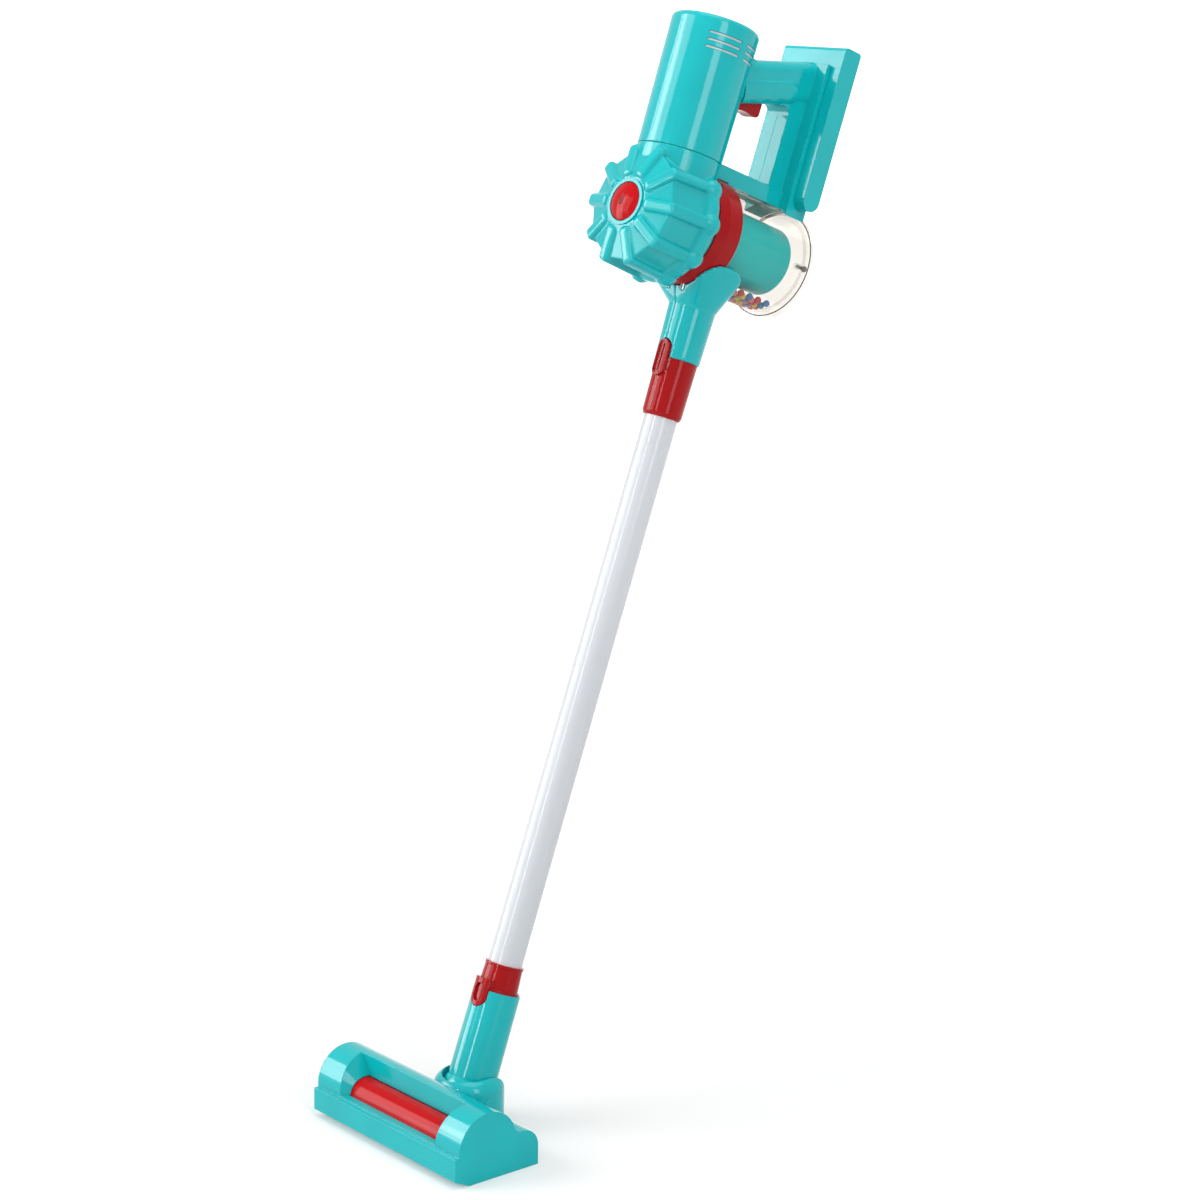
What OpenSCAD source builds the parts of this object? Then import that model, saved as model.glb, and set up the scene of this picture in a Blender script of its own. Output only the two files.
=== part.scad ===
// Toy stick vacuum cleaner: floor head with roller, neck, push-fit wand, hand unit and clear bead bin.
// Millimetres, +Z up, front towards -Y. The origin is on the floor under the middle of the floor head.
// Wand, neck and hand unit are drawn upright about the neck pin and leaned back together.

/* [Stance] */
// Backward lean of the wand at rest, degrees
lean = 19.9; // [5:0.1:40]
// Smallest lean of the neck in the floor head, degrees
lean_min = 0; // [0:1:5]
// Largest lean of the neck in the floor head, degrees
lean_max = 58; // [45:1:62]
// Distance of the neck pin behind the middle of the floor head
pivot_y = 31.4; // [29:0.1:36]
// Height of the neck pin above the floor
pivot_h = 19.5; // [18.6:0.1:24]

/* [Floor head] */
// Width of the floor head
head_w = 133; // [124:1:160]
// Depth of the floor head from bumper to heel
head_d = 58.6; // [57:0.2:66]
// Outer radius of the arch over the roller
arch_r = 19.9; // [18.5:0.1:21]
// Distance of the arch axis in front of the middle of the head
arch_fwd = 6.6; // [5:0.1:8]
// Height of the arch axis
arch_h = 19.7; // [18:0.1:21]
// Height of the front bumper
bumper_h = 17.6; // [14:0.1:19]
// Height of the sloping toe under the bumper
toe_h = 4.5; // [2:0.1:6]
// Depth of the sloping toe
toe_d = 10; // [6:0.5:11]
// Height of the heel behind the arch
heel_h = 22.6; // [20:0.1:26]
// Radius of the heel's rounded back edge
heel_r = 11.3; // [6:0.1:14]
// Radius of the hollow between arch and heel
valley_r = 6; // [3:0.5:7]
// Wall of the floor head
head_wall = 2.2; // [1.6:0.1:3]
// Thickness of the sole plate
sole_t = 2; // [1.5:0.1:2.6]
// Width of each solid end beside the roller window
end_w = 19.5; // [17:0.1:28]
// Inward run of the window's conical end walls
window_run = 5.5; // [3:0.1:7]
// Height of the window's floor
window_z = 18.6; // [18:0.1:22]
// Distance of the window's back wall in front of the middle of the head
window_back = 8; // [6:0.1:9]
// Outer radius of the round turret that holds the neck
turret_r = 20.5; // [20.2:0.1:24]
// Height of the turret's straight wall
turret_wall_h = 25; // [22:0.1:28]
// Radius of the turret's rounded shoulder
shoulder_r = 8.5; // [5:0.1:10]

/* [Roller] */
// Radius of the roller
roller_r = 10.6; // [9:0.1:11]
// Distance of the roller axis in front of the middle of the head
roller_fwd = 10.9; // [10.5:0.1:12]
// Height of the roller axis
roller_h = 16.9; // [16:0.1:18]
// Radius of the roller axle
axle_r = 1.5; // [1:0.1:2.5]

/* [Neck and wand] */
// Radius of the neck's ball
ball_r = 17; // [16:0.1:17.2]
// Radius of the neck above its ball
neck_r = 14.4; // [13.8:0.1:15]
// Radius of the neck at its top
neck_top_r = 13.8; // [13.4:0.1:14.2]
// Height of the neck's top above its pin
neck_top = 62; // [56:0.5:75]
// Radius of the neck pin
neck_pin_r = 2; // [1.5:0.1:3]
// Outer radius of the wand tube
tube_r = 10; // [9.4:0.1:10.2]
// Wall of the wand tube
tube_wall = 1; // [0.6:0.1:2]
// Visible length of the wand tube between its collars
tube_len = 327.3; // [200:0.1:400]
// Length of the visible lower collar
low_collar_len = 16; // [13:0.1:24]
// Length of the visible upper collar
up_collar_len = 34; // [30:0.1:44]
// Outer radius of the collar spigots
spigot_r = 11; // [10.8:0.1:11.3]
// Length of the collar spigots
spigot_len = 26; // [20:0.5:28]
// Width of the key on the lower collar
low_key_w = 12.4; // [8:0.1:14]
// Width of the key on the upper collar
up_key_w = 9.6; // [7:0.1:12]

/* [Duct] */
// Radius of the duct at its mouth
duct_r = 13.2; // [12.8:0.1:13.8]
// Radius of the duct below its saddle
duct_top_r = 14.1; // [13.6:0.1:15]
// Length of the duct below its saddle
duct_len = 32.7; // [30:0.1:34]
// Half angle of the saddle under the bin, degrees
saddle_angle = 56; // [40:1:62]

/* [Bin and cyclone cap] */
// Height of the bin axis above the top of the duct
bin_rise = 41.1; // [40:0.1:44]
// Outer radius of the clear bin
bin_r = 31.5; // [31:0.1:32]
// Wall of the clear bin
bin_wall = 1.8; // [1.2:0.1:2.2]
// Back end of the bin behind the wand axis
bin_back = 50.5; // [47:0.1:54]
// Thickness of the bin lid
lid_t = 3.2; // [2.4:0.1:5]
// Radius of the teal core inside the bin
core_r = 22.9; // [18:0.1:23.2]
// Gap between the end of the core and the lid
core_gap = 4.1; // [3.6:0.1:8]
// Outer radius of the red ring in front of the bin
ring_r = 32.6; // [32.4:0.1:33]
// Width of the ring's cylindrical band
ring_band = 10.2; // [8:0.1:11]
// Length of the ring's conical nose
ring_nose = 6.5; // [4:0.1:7]
// Distance of the ring's back edge in front of the wand axis
ring_back = 9.3; // [8.5:0.1:10]
// Radius of the drum that carries ring, bin and cap
drum_r = 29.5; // [28:0.1:29.6]
// Number of ribs on the cyclone cap
cap_ribs = 10; // [8:1:12]
// Distance of the cap's front face in front of the wand axis
cap_front = 71.3; // [68:0.1:74]
// Radius of the cap at the outside of its shoulder ribs
cap_rib_r = 36; // [35:0.1:37]
// Radius of the cap at its rear lobes
cap_lobe_r = 39.8; // [38.5:0.1:40.5]
// Radius of the flat facets between the ribs
cap_facet_r = 31.6; // [31.2:0.1:32.6]
// Width of one rib
rib_w = 7.8; // [6:0.1:9]
// Radius of the red hub button
hub_r = 11.2; // [9:0.1:12]
// Height of the hub button's dome
hub_dome = 2.8; // [1.5:0.1:4]
// Travel of the hub button
hub_travel = 2; // [1:0.1:2.5]
// Diameter of one bead
bead_d = 4; // [3:0.1:4.4]

/* [Hand unit] */
// Distance of the motor housing's axis in front of the wand axis
motor_fwd = 42.3; // [41.5:0.1:43]
// Radius of the motor housing at its foot
motor_r = 24.8; // [24.4:0.1:25.2]
// Radius of the motor housing at its top
motor_top_r = 25.8; // [25.3:0.1:26.4]
// Height of the motor housing above its seam
motor_len = 77; // [72:0.5:90]
// Height of the seam above the bin axis
seam_rise = 37.2; // [36.8:0.1:38]
// Edge radius of the motor housing's top
motor_edge = 3; // [1.5:0.1:4]
// Wall of the hand unit
hand_wall = 2; // [1.6:0.1:2.4]
// Height of one vent slot
vent_h = 1.4; // [1:0.1:2]
// Number of vent rows
vent_rows = 3; // [1:1:4]
// Pitch of the vent rows
vent_pitch = 4.15; // [3.6:0.05:5]
// Height of the deck's top above the bin axis
deck_rise = 39.9; // [39.5:0.1:42]
// Width of the deck
deck_w = 20; // [18.6:0.2:24]
// Width of the strut
strut_w = 17.4; // [14:0.2:20]
// Front of the strut behind the wand axis
strut_front = 23; // [21:0.1:25]
// Upward tilt of the handle, degrees
handle_tilt = 17.5; // [12:0.1:21]
// Height of the handle's section
handle_h = 25; // [23.5:0.1:28]
// Width of the handle's section
handle_w = 20; // [18:0.2:24]
// Height of the handle's middle above the deck
handle_rise = 60; // [56:0.1:66]
// Front of the base plate behind the wand axis
plate_front = 34.4; // [33:0.1:36]
// Thickness of the base plate
plate_t = 3.1; // [2:0.1:5]
// Width of the base plate
plate_w = 34.8; // [30:0.2:40]
// Width of the trigger
trigger_w = 9; // [7:0.2:10]
// Depth by which the trigger stands out below the handle
trigger_drop = 7.6; // [5:0.1:9]

/* [Battery box] */
// Width of the battery box
box_w = 50.8; // [48:0.2:60]
// Thickness of the battery box
box_t = 13.2; // [13.1:0.1:16]
// Height of the battery box
box_h = 97.4; // [92:0.2:110]
// Diameter of one cell
cell_d = 10.5; // [9.5:0.1:10.5]
// Length of one cell
cell_len = 44.5; // [40:0.1:48]

/* [Fits] */
// Radial clearance of running pins
pin_clear = 0.05; // [0.02:0.01:0.1]
// Clearance of fixed pins and screws in their holes
seat_clear = 0.02; // [0.01:0.01:0.05]
// Radial clearance of the push-fit spigots
spigot_clear = 0.08; // [0.04:0.01:0.1]
// Gap between parts that move past each other
run_gap = 0.4; // [0.3:0.05:0.6]
// Gap between fixed parts
part_gap = 0.15; // [0.1:0.05:0.3]

/* [Hidden] */

$fn = 64;
far = 200;
teal = [0.05, 0.69, 0.70];
deep_teal = [0.03, 0.60, 0.60];
red = [0.78, 0.09, 0.11];
white = [0.86, 0.88, 0.90];
clear = [0.85, 0.83, 0.78, 0.35];
steel = [0.72, 0.73, 0.75];
brass = [0.80, 0.66, 0.32];
dark = [0.16, 0.17, 0.18];
green = [0.10, 0.42, 0.22];
yellow = [0.93, 0.80, 0.20];
blue = [0.18, 0.42, 0.78];
pink = [0.92, 0.45, 0.55];

// Floor head
arch_y = -arch_fwd;
heel_y = head_d / 2 - heel_r;
heel_z = heel_h - heel_r;
valley_z = heel_h + valley_r;
valley_y = arch_y + sqrt(pow(arch_r + valley_r, 2) - pow(valley_z - arch_h, 2));
toe_y = -head_d / 2 + toe_d;
turret_y = pivot_y + 0.8;
dip = 2;
dip_r = 30;
roller_y = -roller_fwd;
roller_end_gap = 0.6;
roller_lip = 2.2;
window_w = head_w - 2 * end_w;
slot_half = window_w / 2 - window_run;
roller_half = slot_half + roller_lip - roller_end_gap;
pocket_wall = 4;
axle_half = window_w / 2 + pocket_wall - 1;
axle_stop = 0.3;
sole_screw_x = head_w / 2 - end_w / 2;
sole_screw_y = [arch_y - 4, heel_y - 2];
screw_r = 1.45;
screw_head_r = 2.7;
screw_head_t = 1.4;
boss_r = 3.4;
sole_screw_len = 9;

// Neck and wand, heights above the neck pin
neck_bore_r = spigot_r + spigot_clear;
neck_bore_z = neck_top - spigot_len - 1;
low_top = neck_top + low_collar_len;
up_bottom = low_top + tube_len;
up_top = up_bottom + up_collar_len;
collar_bore = tube_r + seat_clear;
tube_seat = 12;
key_stand = 0.5;
low_key_drop = 10.4;
up_key_rise = 10;
up_key_drop = 11.6;
key_gap = 0.35;
key_rim = 2.6;
key_pocket = 1.4;
pin_ear_gap = 0.8;
pin_half = turret_r - pin_ear_gap;
pin_boss_r = 3.6;
pin_boss_out = 0.7;
ear_gap = run_gap - 0.05;

// Duct and bin, heights above the neck pin
duct_top = up_top + duct_len;
bin_z = duct_top + bin_rise;
saddle_r = ring_r + part_gap;
saddle_wall = 2.4;
saddle_front = ring_back + ring_band + 1.4;
saddle_back = 9;
saddle_corner = 10;
saddle_bead = 1.8;
flare_step = 0.3;
ring_front = ring_back + ring_band + ring_nose;
drum_back = ring_back + 3.2;
bin_front = drum_back - part_gap;
drum_front = cap_front - 12.5;
duct_screw_x = 6;
duct_screw_at = drum_back + hand_wall + screw_head_r + 0.2;
duct_screw_seat = drum_r - hand_wall - 1.5;
duct_screw_bite = 2.2;
duct_screw_len = saddle_r + duct_screw_bite - duct_screw_seat + screw_head_t;
lid_rim = 0.8;
core_wall = 1.5;
core_back = bin_back - core_gap;
lid_spigot = 2.6;
lid_screw_at = (core_r + bin_r - bin_wall) / 2 - 0.4;
lid_boss_r = 1.9;
lid_boss_len = 5;
ring_gap_w = deck_w - 2.8;

// Cyclone cap, distances in front of the wand axis
cap_in_r = drum_r + 0.3;
cap_shoulder = cap_front - 5.4;
rib_proud = 2.7;
rib_rise = 1.3;
rib_edge = 2.5;
lobe_at = cap_front - 35.3;
flange_tube_r = 6.5;
flange_r = cap_lobe_r - 2.8;
lobe_r = 7;
rib_inner = 17.4;
cap_wall = 3.4;
cap_boss = 4.2;
hub_cup_wall = 1;
hub_gap = 0.35;
hub_flange = 2;
hub_flange_t = 1;
hub_depth = 9.3 + hub_travel;
hub_skirt = 5;
hub_stem_r = 3;
hub_coil_r = 5.2;
cap_screw_at = 21;

// Hand unit, heights above the neck pin and distances behind the wand axis
seam_z = bin_z + seam_rise;
motor_top = seam_z + motor_len;
deck_z = bin_z + deck_rise;
handle_d = 17;
handle_z = deck_z + handle_rise;
handle_corner = 6;
motor_fillet = 4.6;
strut_fillet = 5;
deck_fillet = 1.5;
panel_len = 22;
panel_h = 8;
panel_rise = 10.2;
panel_at = -15;
panel_sink = 0.6;
plate_back = plate_front + plate_t;
plate_top = handle_z + 18;
neck_block_w = ring_gap_w - 0.6;
vent_drop = 10.2;
vent_top = motor_top - vent_drop;
vent_r = motor_r + (motor_top_r - motor_r) * (motor_len - vent_drop) / (motor_len - motor_edge);
vent_sink = 0.5;
liner_low = motor_top - 24;
liner_t = 1.2;
motor_in_r = motor_r - hand_wall;
speaker_r = motor_in_r - part_gap - liner_t - seat_clear;
board_t = 1.6;
board_rise = 9;
board_half = 20.5;
board_side = 12;
board_top_half = 7;
board_drop = 33;
chip = 10;
chip_t = 2;
can_r = 2.5;
can_h = 6;
can_at = 8.3;
cone_r = 20;
speaker_t = 2.4;
screw_seat = min(strut_w, handle_w) / 2 - 2.4;
screw_tip = min(strut_w, handle_w) / 2 - 1.6;

// Trigger
trigger_pin_r = 1.5;
trigger_pin_d = -11;
trigger_eye_r = 3.6;
trigger_coil_r = 2.4;
spring_wire = 0.35;
trigger_pin_z = handle_z - 10;
trigger_front = trigger_pin_d - trigger_eye_r;
trigger_back = 4.6;
trigger_low = handle_z - 18.4 - trigger_drop;
trigger_slot = trigger_w + 2 * run_gap;
trigger_pin_half = handle_w / 2 - 1;
trigger_ceiling = handle_z - 1.5;
trigger_arm_top = trigger_pin_z - 2;
trigger_spring_d = trigger_pin_d + trigger_eye_r + trigger_coil_r + spring_wire + 0.3;
switch_d = 2.2;

// Battery box
box_front = plate_back;
box_back = box_front + box_t;
box_low = bin_z + bin_r + 0.7;
box_top = box_low + box_h;
box_round = box_t / 2;
box_wall = 1.2;
door_t = 1.2;
door_edge = 4;
door_low = box_low + 10;
door_high = box_top - 7;
cell_pitch = cell_d + 1.2;
cell_low = box_low + 38;
cell_mid = box_front + box_wall + cell_d / 2 + 0.1;
box_screw_len = 9;
contact_w = 8;
contact_t = 0.5;

// Placing helpers
module tool() {
    translate([0, pivot_y, pivot_h]) rotate([-lean, 0, 0]) children();
}

// Axis of the bin: z points to the back, y points down
module bin_frame() {
    tool() translate([0, 0, bin_z]) rotate([-90, 0, 0]) children();
}

// Extrudes a side view, drawn as depth and height, across the width
module across(w) {
    rotate([90, 0, 90]) linear_extrude(w, center = true) children();
}

module pin_x(r, half) {
    rotate([0, 90, 0]) cylinder(r = r, h = 2 * half, center = true);
}

module round_rect(w, h, r) {
    union() {
        square([w - 2 * r, h], center = true);
        square([w, h - 2 * r], center = true);
        for (x = [-1, 1]) {
            for (y = [-1, 1]) {
                translate([x * (w / 2 - r), y * (h / 2 - r)]) circle(r);
            }
        }
    }
}

// Half space on one side of the middle plane: side is -1 for left and 1 for right
module half_space(side) {
    translate([side > 0 ? 0 : -far, -far, -far]) cube([far, 2 * far, 5 * far]);
}

// A screw along +z, head at the bottom
module screw(len) {
    cylinder(r = screw_head_r, h = screw_head_t);
    cylinder(r = screw_r, h = len);
}

// Helical wire along +z
module coil(radius, wire, turns, height) {
    steps = 10;
    sides = 6;
    count = turns * steps;
    function ring_point(i, k) =
        let (a = 360 * i / steps, b = 360 * k / sides, r = radius + wire * cos(b))
        [r * cos(a), r * sin(a), wire + (height - 2 * wire) * i / count + wire * sin(b)];
    points = [for (i = [0:count]) for (k = [0:sides - 1]) ring_point(i, k)];
    sides_faces = [for (i = [0:count - 1]) for (k = [0:sides - 1]) for (f = [0, 1])
        let (a = i * sides + k, b = i * sides + (k + 1) % sides)
        f == 0 ? [a, b, b + sides] : [a, b + sides, a + sides]];
    start = [for (k = [1:sides - 2]) [0, k + 1, k]];
    end = [for (k = [1:sides - 2]) [count * sides, count * sides + k, count * sides + k + 1]];
    polyhedron(points, concat(sides_faces, start, end));
}

// Floor head

module head_outline() {
    union() {
        translate([arch_y, arch_h]) circle(arch_r);
        translate([heel_y, heel_z]) circle(heel_r);
        polygon([
            [toe_y, 0], [-head_d / 2, toe_h], [-head_d / 2, bumper_h], [arch_y, bumper_h],
            [arch_y, heel_h], [heel_y, heel_h], [heel_y, heel_z], [head_d / 2, heel_z], [head_d / 2, 0]
        ]);
        difference() {
            polygon([[arch_y, arch_h], [valley_y, valley_z], [valley_y, heel_h - 1], [arch_y, heel_h - 1]]);
            translate([valley_y, valley_z]) circle(valley_r);
        }
    }
}

module head_cavity() {
    w = head_wall;
    union() {
        intersection() {
            translate([arch_y, arch_h]) circle(arch_r - w);
            translate([arch_y - arch_r, bumper_h - w - 1]) square([2 * arch_r, 2 * arch_r]);
        }
        polygon([
            [toe_y + w, -1], [toe_y + w, toe_h + w], [-head_d / 2 + w, toe_h + w],
            [-head_d / 2 + w, bumper_h - w], [heel_y, bumper_h - w], [heel_y, heel_h - w],
            [head_d / 2 - heel_r / 2, heel_h - w - heel_r / 3], [head_d / 2 - w, heel_z],
            [head_d / 2 - w, -1]
        ]);
    }
}

module turret_outline() {
    union() {
        square([turret_r - shoulder_r, turret_wall_h + shoulder_r]);
        square([turret_r, turret_wall_h]);
        translate([turret_r - shoulder_r, turret_wall_h]) circle(shoulder_r);
    }
}

// Room that the neck sweeps between its smallest and largest lean
module neck_sweep() {
    reach = 80;
    a = lean_min;
    b = lean_max;
    translate([0, pivot_y, pivot_h]) {
        sphere(ball_r + run_gap);
        rotate([-a, 0, 0]) cylinder(r = neck_r + run_gap + 0.15, h = reach);
        rotate([-b, 0, 0]) cylinder(r = neck_r + run_gap + 0.15, h = reach);
        across(2 * (neck_r + ear_gap)) {
            polygon([
                [0, 0], [reach * sin(a), reach * cos(a)], [reach, reach], [reach * sin(b), reach * cos(b)]
            ]);
        }
    }
}

// Opening over the roller: conical end walls about the roller's axis, upright back wall, flat floor
module roller_window() {
    low = roller_r + run_gap;
    reach = 2 * arch_r;
    steep = window_run / (arch_r - low);
    wide = slot_half + (reach - low) * steep;
    intersection() {
        translate([0, roller_y, roller_h]) rotate([0, 90, 0]) rotate_extrude() {
            polygon([
                [0, -slot_half], [low, -slot_half], [reach, -wide],
                [reach, wide], [low, slot_half], [0, slot_half]
            ]);
        }
        translate([-far, -far, window_z]) cube([2 * far, far - window_back, far]);
    }
}

module head_shell() {
    color(teal) difference() {
        union() {
            difference() {
                across(head_w) head_outline();
                across(head_w - 2 * head_wall) head_cavity();
            }
            intersection() {
                across(window_w + 2 * pocket_wall) head_outline();
                translate([-far, -far, sole_t + part_gap]) {
                    cube([2 * far, far - window_back + head_wall, far]);
                }
            }
            translate([0, turret_y, 0]) difference() {
                rotate_extrude() intersection() {
                    turret_outline();
                    square(far);
                }
                translate([0, 0, turret_wall_h + shoulder_r + dip_r - dip]) rotate([90, 0, 0]) {
                    cylinder(r = dip_r, h = turret_r + 0.5);
                }
            }
            translate([0, pivot_y, pivot_h]) pin_x(pin_boss_r, turret_r + pin_boss_out);
            intersection() {
                across(head_w) head_outline();
                for (x = [-1, 1]) {
                    for (y = sole_screw_y) {
                        translate([x * sole_screw_x, y, sole_t + part_gap]) cylinder(r = boss_r, h = far);
                    }
                }
            }
        }
        roller_window();
        translate([0, roller_y, roller_h]) pin_x(roller_r + run_gap, slot_half + roller_lip);
        translate([0, roller_y, roller_h]) pin_x(axle_r + seat_clear, axle_half + axle_stop);
        neck_sweep();
        translate([0, pivot_y, pivot_h]) pin_x(neck_pin_r + seat_clear, pin_half + seat_clear);
        for (x = [-1, 1]) {
            for (y = sole_screw_y) {
                translate([x * sole_screw_x, y, 0]) {
                    cylinder(r = screw_r + seat_clear, h = sole_screw_len + 0.5);
                }
            }
        }
    }
}

module sole_plate() {
    edge = head_wall + part_gap;
    color(deep_teal) difference() {
        translate([-head_w / 2 + edge, toe_y + edge, 0]) {
            cube([head_w - 2 * edge, head_d - toe_d - 2 * edge, sole_t]);
        }
        translate([0, turret_y, -1]) cylinder(r = turret_r + part_gap, h = sole_t + 2);
        for (x = [-1, 1]) {
            for (y = sole_screw_y) {
                translate([x * sole_screw_x, y, -1]) {
                    cylinder(r = screw_head_r + part_gap, h = 1 + screw_head_t);
                    cylinder(r = screw_r + part_gap, h = sole_t + 2);
                }
            }
        }
    }
}

module sole_screws() {
    color(steel) for (x = [-1, 1]) {
        for (y = sole_screw_y) {
            translate([x * sole_screw_x, y, 0]) screw(sole_screw_len);
        }
    }
}

module roller() {
    crease = 0.7;
    color(red) translate([0, roller_y, roller_h]) difference() {
        pin_x(roller_r, roller_half);
        pin_x(axle_r + pin_clear, roller_half + 1);
        for (a = [0, 180]) {
            rotate([a + 150, 0, 0]) translate([0, 0, roller_r]) {
                cube([2 * roller_half + 1, crease, crease], center = true);
            }
        }
        for (s = [-1, 1]) {
            translate([s * roller_half, 0, 0]) difference() {
                pin_x(roller_r - 2, 1.5);
                pin_x(axle_r + 2, 2);
            }
        }
    }
}

module roller_axle() {
    color(steel) translate([0, roller_y, roller_h]) pin_x(axle_r, axle_half);
}

module neck_pin() {
    color(steel) translate([0, pivot_y, pivot_h]) pin_x(neck_pin_r, pin_half);
}

// Neck, wand and collars

// Side of a collar key: a bar across the front with a round end, from z0 up to z1
module key_bar(w, z0, z1, round_low, round_high) {
    low = round_low ? z0 + w / 2 : z0;
    high = round_high ? z1 - w / 2 : z1;
    translate([0, -far / 2, 0]) rotate([90, 0, 0]) linear_extrude(far, center = true) union() {
        translate([-w / 2, low]) square([w, high - low]);
        if (round_low) {
            translate([0, low]) circle(w / 2);
        }
        if (round_high) {
            translate([0, high]) circle(w / 2);
        }
    }
}

module neck() {
    color(teal) tool() difference() {
        rotate_extrude() intersection() {
            union() {
                circle(ball_r);
                polygon([[0, 0], [neck_r - 0.1, 0], [neck_top_r, neck_top], [0, neck_top]]);
            }
            translate([0, -far]) square([far, 2 * far]);
        }
        translate([0, 0, neck_bore_z]) cylinder(r = neck_bore_r, h = far);
        translate([0, 0, ball_r + 3]) cylinder(r = neck_bore_r - 2, h = far);
        key_bar(low_key_w + 2 * key_gap, neck_top - low_key_drop - key_gap, neck_top + 5, true, false);
        pin_x(neck_pin_r + pin_clear, ball_r + 1);
    }
}

module lower_collar() {
    flange = 1.2;
    lip = 1.6;
    color(red) tool() difference() {
        union() {
            translate([0, 0, neck_top - spigot_len]) cylinder(r = spigot_r, h = spigot_len + 1);
            translate([0, 0, neck_top]) cylinder(r = neck_top_r - 0.9, h = flange);
            translate([0, 0, neck_top]) {
                cylinder(r1 = spigot_r + 0.8, r2 = tube_r + 0.9, h = low_collar_len);
            }
            translate([0, 0, low_top - lip]) cylinder(r = tube_r + 1.3, h = lip);
            intersection() {
                translate([0, 0, neck_top - 20]) {
                    cylinder(r = neck_top_r + key_stand, h = 20 + low_collar_len);
                }
                key_bar(low_key_w, neck_top - low_key_drop, neck_top + 6, true, false);
            }
        }
        translate([0, 0, neck_top - tube_seat]) cylinder(r = collar_bore, h = far);
        translate([0, 0, neck_top - far]) cylinder(r = tube_r - 2, h = 2 * far);
        difference() {
            key_bar(low_key_w - 2 * key_rim, neck_top - low_key_drop + key_rim, neck_top + 3, true, true);
            translate([0, 0, neck_top - 20]) cylinder(r = neck_top_r + key_stand - key_pocket, h = 60);
        }
    }
}

module wand_tube() {
    color(white) tool() translate([0, 0, neck_top - tube_seat]) difference() {
        cylinder(r = tube_r, h = up_top + tube_seat - neck_top);
        translate([0, 0, -1]) cylinder(r = tube_r - tube_wall, h = far * 4);
    }
}

module upper_collar() {
    chamfer = 2.2;
    groove = 0.6;
    color(red) tool() difference() {
        union() {
            translate([0, 0, up_bottom]) cylinder(r1 = tube_r + 0.9, r2 = tube_r + 1.8, h = chamfer);
            translate([0, 0, up_bottom + chamfer]) {
                cylinder(r1 = tube_r + 1.8, r2 = duct_r - 0.9, h = up_collar_len - chamfer);
            }
            translate([0, 0, up_top - 1]) cylinder(r = spigot_r, h = spigot_len + 1);
            intersection() {
                translate([0, 0, up_top - 20]) cylinder(r = duct_r + key_stand + 0.4, h = 40);
                key_bar(up_key_w, up_top - up_key_drop, up_top + up_key_rise, true, true);
            }
        }
        translate([0, 0, up_bottom - 1]) cylinder(r = collar_bore, h = up_top - up_bottom + 1);
        translate([0, 0, up_top - 1]) cylinder(r = tube_r - 2, h = far);
        difference() {
            intersection() {
                difference() {
                    translate([0, 0, up_top - 20]) cylinder(r = duct_r + 3, h = 40);
                    translate([0, 0, up_top - 21]) cylinder(r = duct_r + key_stand + 0.4 - groove, h = 42);
                }
                key_bar(up_key_w - 3, up_top - up_key_drop + 1.5, up_top + up_key_rise - 1.5, true, true);
            }
            key_bar(1.2, up_top - up_key_drop + 3, up_top + up_key_rise - 3, false, false);
        }
    }
}

// Duct

// Flare from the round duct to the saddle under ring and bin
module duct_flare() {
    turn = atan(saddle_corner / saddle_r);
    hull() {
        tool() translate([0, 0, duct_top - 0.6]) cylinder(r = duct_top_r + flare_step, h = 0.6, $fn = 48);
        bin_frame() for (side = [-1, 1]) {
            for (a = [0:22.5:90]) {
                inset = saddle_corner * (1 - sin(a));
                rotate([0, 0, side * (saddle_angle - turn * (1 - cos(a)))]) {
                    for (z = [-saddle_front + saddle_bead + inset, saddle_back - saddle_bead - inset]) {
                        translate([0, saddle_r + saddle_wall - saddle_bead, z]) {
                            sphere(saddle_bead, $fn = 12);
                        }
                    }
                }
            }
        }
    }
}

// Left half of the duct; the right half mirrors it
module duct_half() {
    difference() {
        union() {
            tool() translate([0, 0, up_top]) cylinder(r1 = duct_r, r2 = duct_top_r, h = duct_len);
            duct_flare();
        }
        tool() translate([0, 0, up_top - 1]) cylinder(r = neck_bore_r, h = spigot_len + 2);
        tool() key_bar(up_key_w + 2 * key_gap, up_top - 5, up_top + up_key_rise + key_gap, false, true);
        bin_frame() translate([0, 0, -far]) cylinder(r = saddle_r, h = 2 * far);
        duct_screw_places() {
            cylinder(r = screw_r + seat_clear, h = duct_screw_seat - screw_head_t + duct_screw_len + 0.3);
        }
        tool() half_space(1);
    }
}

module duct_left() {
    color(teal) duct_half();
}

module duct_right() {
    color(teal) mirror([1, 0, 0]) duct_half();
}

// Screws run from inside the drum down through ring and saddle
module duct_screw_places() {
    bin_frame() for (s = [-1, 1]) {
        translate([s * duct_screw_x, 0, -duct_screw_at]) rotate([-90, 0, 0]) children();
    }
}

module duct_screws() {
    color(steel) duct_screw_places() {
        translate([0, 0, duct_screw_seat - screw_head_t]) screw(duct_screw_len);
    }
}

// Bin

module bin_ring() {
    color(red) difference() {
        bin_frame() difference() {
            union() {
                translate([0, 0, -ring_back - ring_band]) cylinder(r = ring_r, h = ring_band);
                translate([0, 0, -ring_front]) cylinder(r1 = drum_r + 1.2, r2 = ring_r, h = ring_nose);
            }
            translate([0, 0, -far]) cylinder(r = drum_r + part_gap, h = 2 * far);
            translate([0, 0, -drum_back]) cylinder(r = bin_r + part_gap, h = far);
            translate([-ring_gap_w / 2, -far, -far]) cube([ring_gap_w, far, 2 * far]);
        }
        duct_screw_places() cylinder(r = screw_r + part_gap, h = far);
    }
}

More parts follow.
